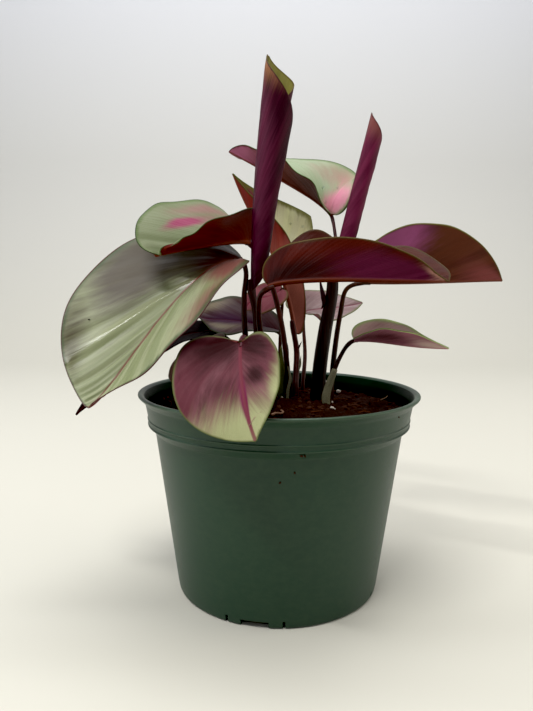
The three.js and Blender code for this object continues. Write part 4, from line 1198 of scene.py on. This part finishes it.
# %% Perlite and bark
# Place and size of each grain in mm.
perlite = [
    ((31.3, 62.0, 102.6), 1.5), ((38, 42.9, 99.4), 1.8), ((24.9, 23.7, 100.9), 0.7),
    ((29.6, 3.2, 100.4), 1.1), ((28.3, -11.6, 100.1), 1.1), ((29.6, -13.4, 99.8), 0.8),
    ((2, 5, 102.6), 0.6), ((-40, 30, 98.9), 0.9), ((-30, -45, 98.8), 0.8),
    ((12, 50, 98.9), 0.7), ((50, -20, 98.6), 0.5),
]
join_parts("perlite_grains", [(lump(place, size, 0.9, 0.35), ball_faces) for place, size in perlite],
           rough_matter("puffed_perlite", "#e8e2d6", "#a99884", 0.9))
bark = [((-66.5, 18, 98.8), 1.1), ((-64.5, 22, 98.9), 0.8), ((-66, 14, 98.7), 0.7)]
join_parts("bark_bits", [(lump(place, size, 0.8), ball_faces) for place, size in bark],
           rough_matter("pine_bark", "#8a4c26", "#5a2a12", 1.0))

# %% [markdown]
# ## Sheaths, scales and water
#
# Each stalk of a calathea comes out of an older leaf's sheath. Some sheaths have dried to pale paper, one is
# still olive green, and torn ones leave small pointed scales. They could be painted on the stalks, but they
# stand off them, so each is a tube that swells and ends in a point. A few drops of water stand on the back
# blades.

# %% Sheaths and scales
# Each scrap: its route in mm and its radius from end to end.
dry_scraps = [
    ([(26.6, 2.6, 97), (26.4, 2.4, 104), (28.3, 3.2, 111), (31.2, 4.4, 118.6)], (2.4, 2.4, 2.1, 1.6)),
    ([(5.0, 7.6, 98), (5.4, 7.8, 106.4), (6.6, 8, 112.4), (4.6, 8, 121.8)], (1.0, 0.9, 0.9, 0.2)),
    ([(11.9, 19.5, 115.5), (12.6, 19.5, 119), (13.1, 19.5, 124.5)], (0.3, 0.8, 0.08)),
]
green_scraps = [
    ([(1.4, 11.4, 97), (1.6, 11.6, 106), (1.9, 12.4, 118), (1.3, 14.6, 130)], (2.1, 2.0, 1.5, 0.6)),
]
dark_scraps = [
    ([(11.6, 20, 128.6), (12.4, 20, 130.4), (13.6, 20, 132.8)], (0.6, 0.45, 0.06)),
    ([(22.4, 8.6, 168), (23.4, 8.6, 163), (24.6, 8.6, 158), (24.8, 8.6, 154.6), (23.2, 8.4, 151.6)],
     (0.3, 1.0, 1.5, 1.1, 0.1)),
]
SCRAP_SIDES = 14


def scrap_parts(scraps):
    """Tubes of scraps, thick and thin as their radii say."""
    parts = []
    for points, radii in scraps:
        route = smooth_route(points, 6)
        along = np.linspace(0, 1, len(route))
        parts.append(tube(route, np.interp(along, np.linspace(0, 1, len(radii)), radii), SCRAP_SIDES))
    return parts


dry_paper = rough_matter("papery_dry_sheath", "#949072", "#4c4834", 1.6, 0.6)
join_parts("dry_sheaths", scrap_parts(dry_scraps), dry_paper)
olive_skin = rough_matter("olive_sheath", "#5c5e22", "#262a0c", 2.5, 0.5)
join_parts("green_sheath", scrap_parts(green_scraps), olive_skin)
withered = rough_matter("withered_scale", "#34121a", "#160609", 1.2, 0.5)
join_parts("dark_scales", scrap_parts(dark_scraps), withered)


# %% Places on a blade
def on_blade(leaf_name, t, across):
    """Point on a blade's upper face and the direction out of it."""
    leaf = next(item for item in leaves if item["name"] == leaf_name)
    half, out, step = int(across < 0), abs(across), 0.01
    length = midrib_length(leaf)
    here, ahead, beside = (open_half(leaf, half, np.array([a]), np.array([b]), length)[0][0]
                           for a, b in ((t, out), (t + step, out), (t, out + step)))
    normal = unit(np.cross(beside - here, ahead - here)) * (-1 if half else 1)
    return here + normal * BLADE_HALF_THICKNESS, normal


print("a place on the front blade:", on_blade("leaf_front_heart", 0.8, -0.4)[0].round(1))

# %% Water drops
# A drop on a waxy leaf is a low dome. Each: its leaf, its place t and across, and its radius in mm.
drop_places = [
    ("leaf_back_top", 0.25, 0.34, 1.0), ("leaf_back_top", 0.15, 0.14, 0.8), ("leaf_back_top", 0.2, 0.54, 0.9),
    ("leaf_back_upright", 0.56, 0.62, 0.9), ("leaf_back_upright", 0.51, 0.8, 1.1),
]
drops = []
for leaf_name, t, across, size in drop_places:
    place, normal = on_blade(leaf_name, t, across)
    turn = np.array(Vector(normal).to_track_quat("Z", "Y").to_matrix())
    drops.append(((ball_points * (size, size * 0.85, size * 0.5)) @ turn.T + place, ball_faces))
# Clear water: smooth, see-through, IOR 1.33, with the faintest ripple so that its glint isn't perfect.
water, tree = new_material("clear_water")
ripple = add(tree, "ShaderNodeTexNoise", {"Scale": 1 / (2 * MM), "Detail": 1.0})
swing = add(tree, "ShaderNodeBump", {"Height": ripple.outputs["Fac"], "Strength": 0.05, "Distance": 0.1 * MM})
shader = add(tree, "ShaderNodeBsdfPrincipled", {
    "Base Color": colour("#f4f8f4"), "Roughness": 0.03, "IOR": 1.33, "Transmission Weight": 0.9,
    "Normal": swing.outputs["Normal"]})
add(tree, "ShaderNodeOutputMaterial", {"Surface": shader.outputs["BSDF"]})
join_parts("water_drops", drops, water)

# %% Healed scratch and speck of grit
# An old scratch on the front blade has healed to a thin corky line, and one dark speck lies on the largest.
scratch_places = [(0.77, -0.62), (0.79, -0.45), (0.815, -0.25), (0.84, -0.1), (0.86, 0.06)]
scratch = smooth_route([on_blade("leaf_front_heart", t, across)[0] for t, across in scratch_places], 4)
scratch_radii = np.interp(np.linspace(0, 1, len(scratch)), (0, 0.5, 1), (0.05, 0.22, 0.05))
join_parts("healed_scratch", [tube(scratch, scratch_radii, 6)],
           rough_matter("corky_scar", "#b0a284", "#8a6a5c", 0.8, 0.6))
speck, outward = on_blade("leaf_left_large", 0.61, 0.69)
join_parts("grit_speck", [(lump(speck + outward * 0.2, 0.6, 0.8), ball_faces)],
           rough_matter("black_grit", "#1c1410", "#0a0604", 0.6, 0.85))
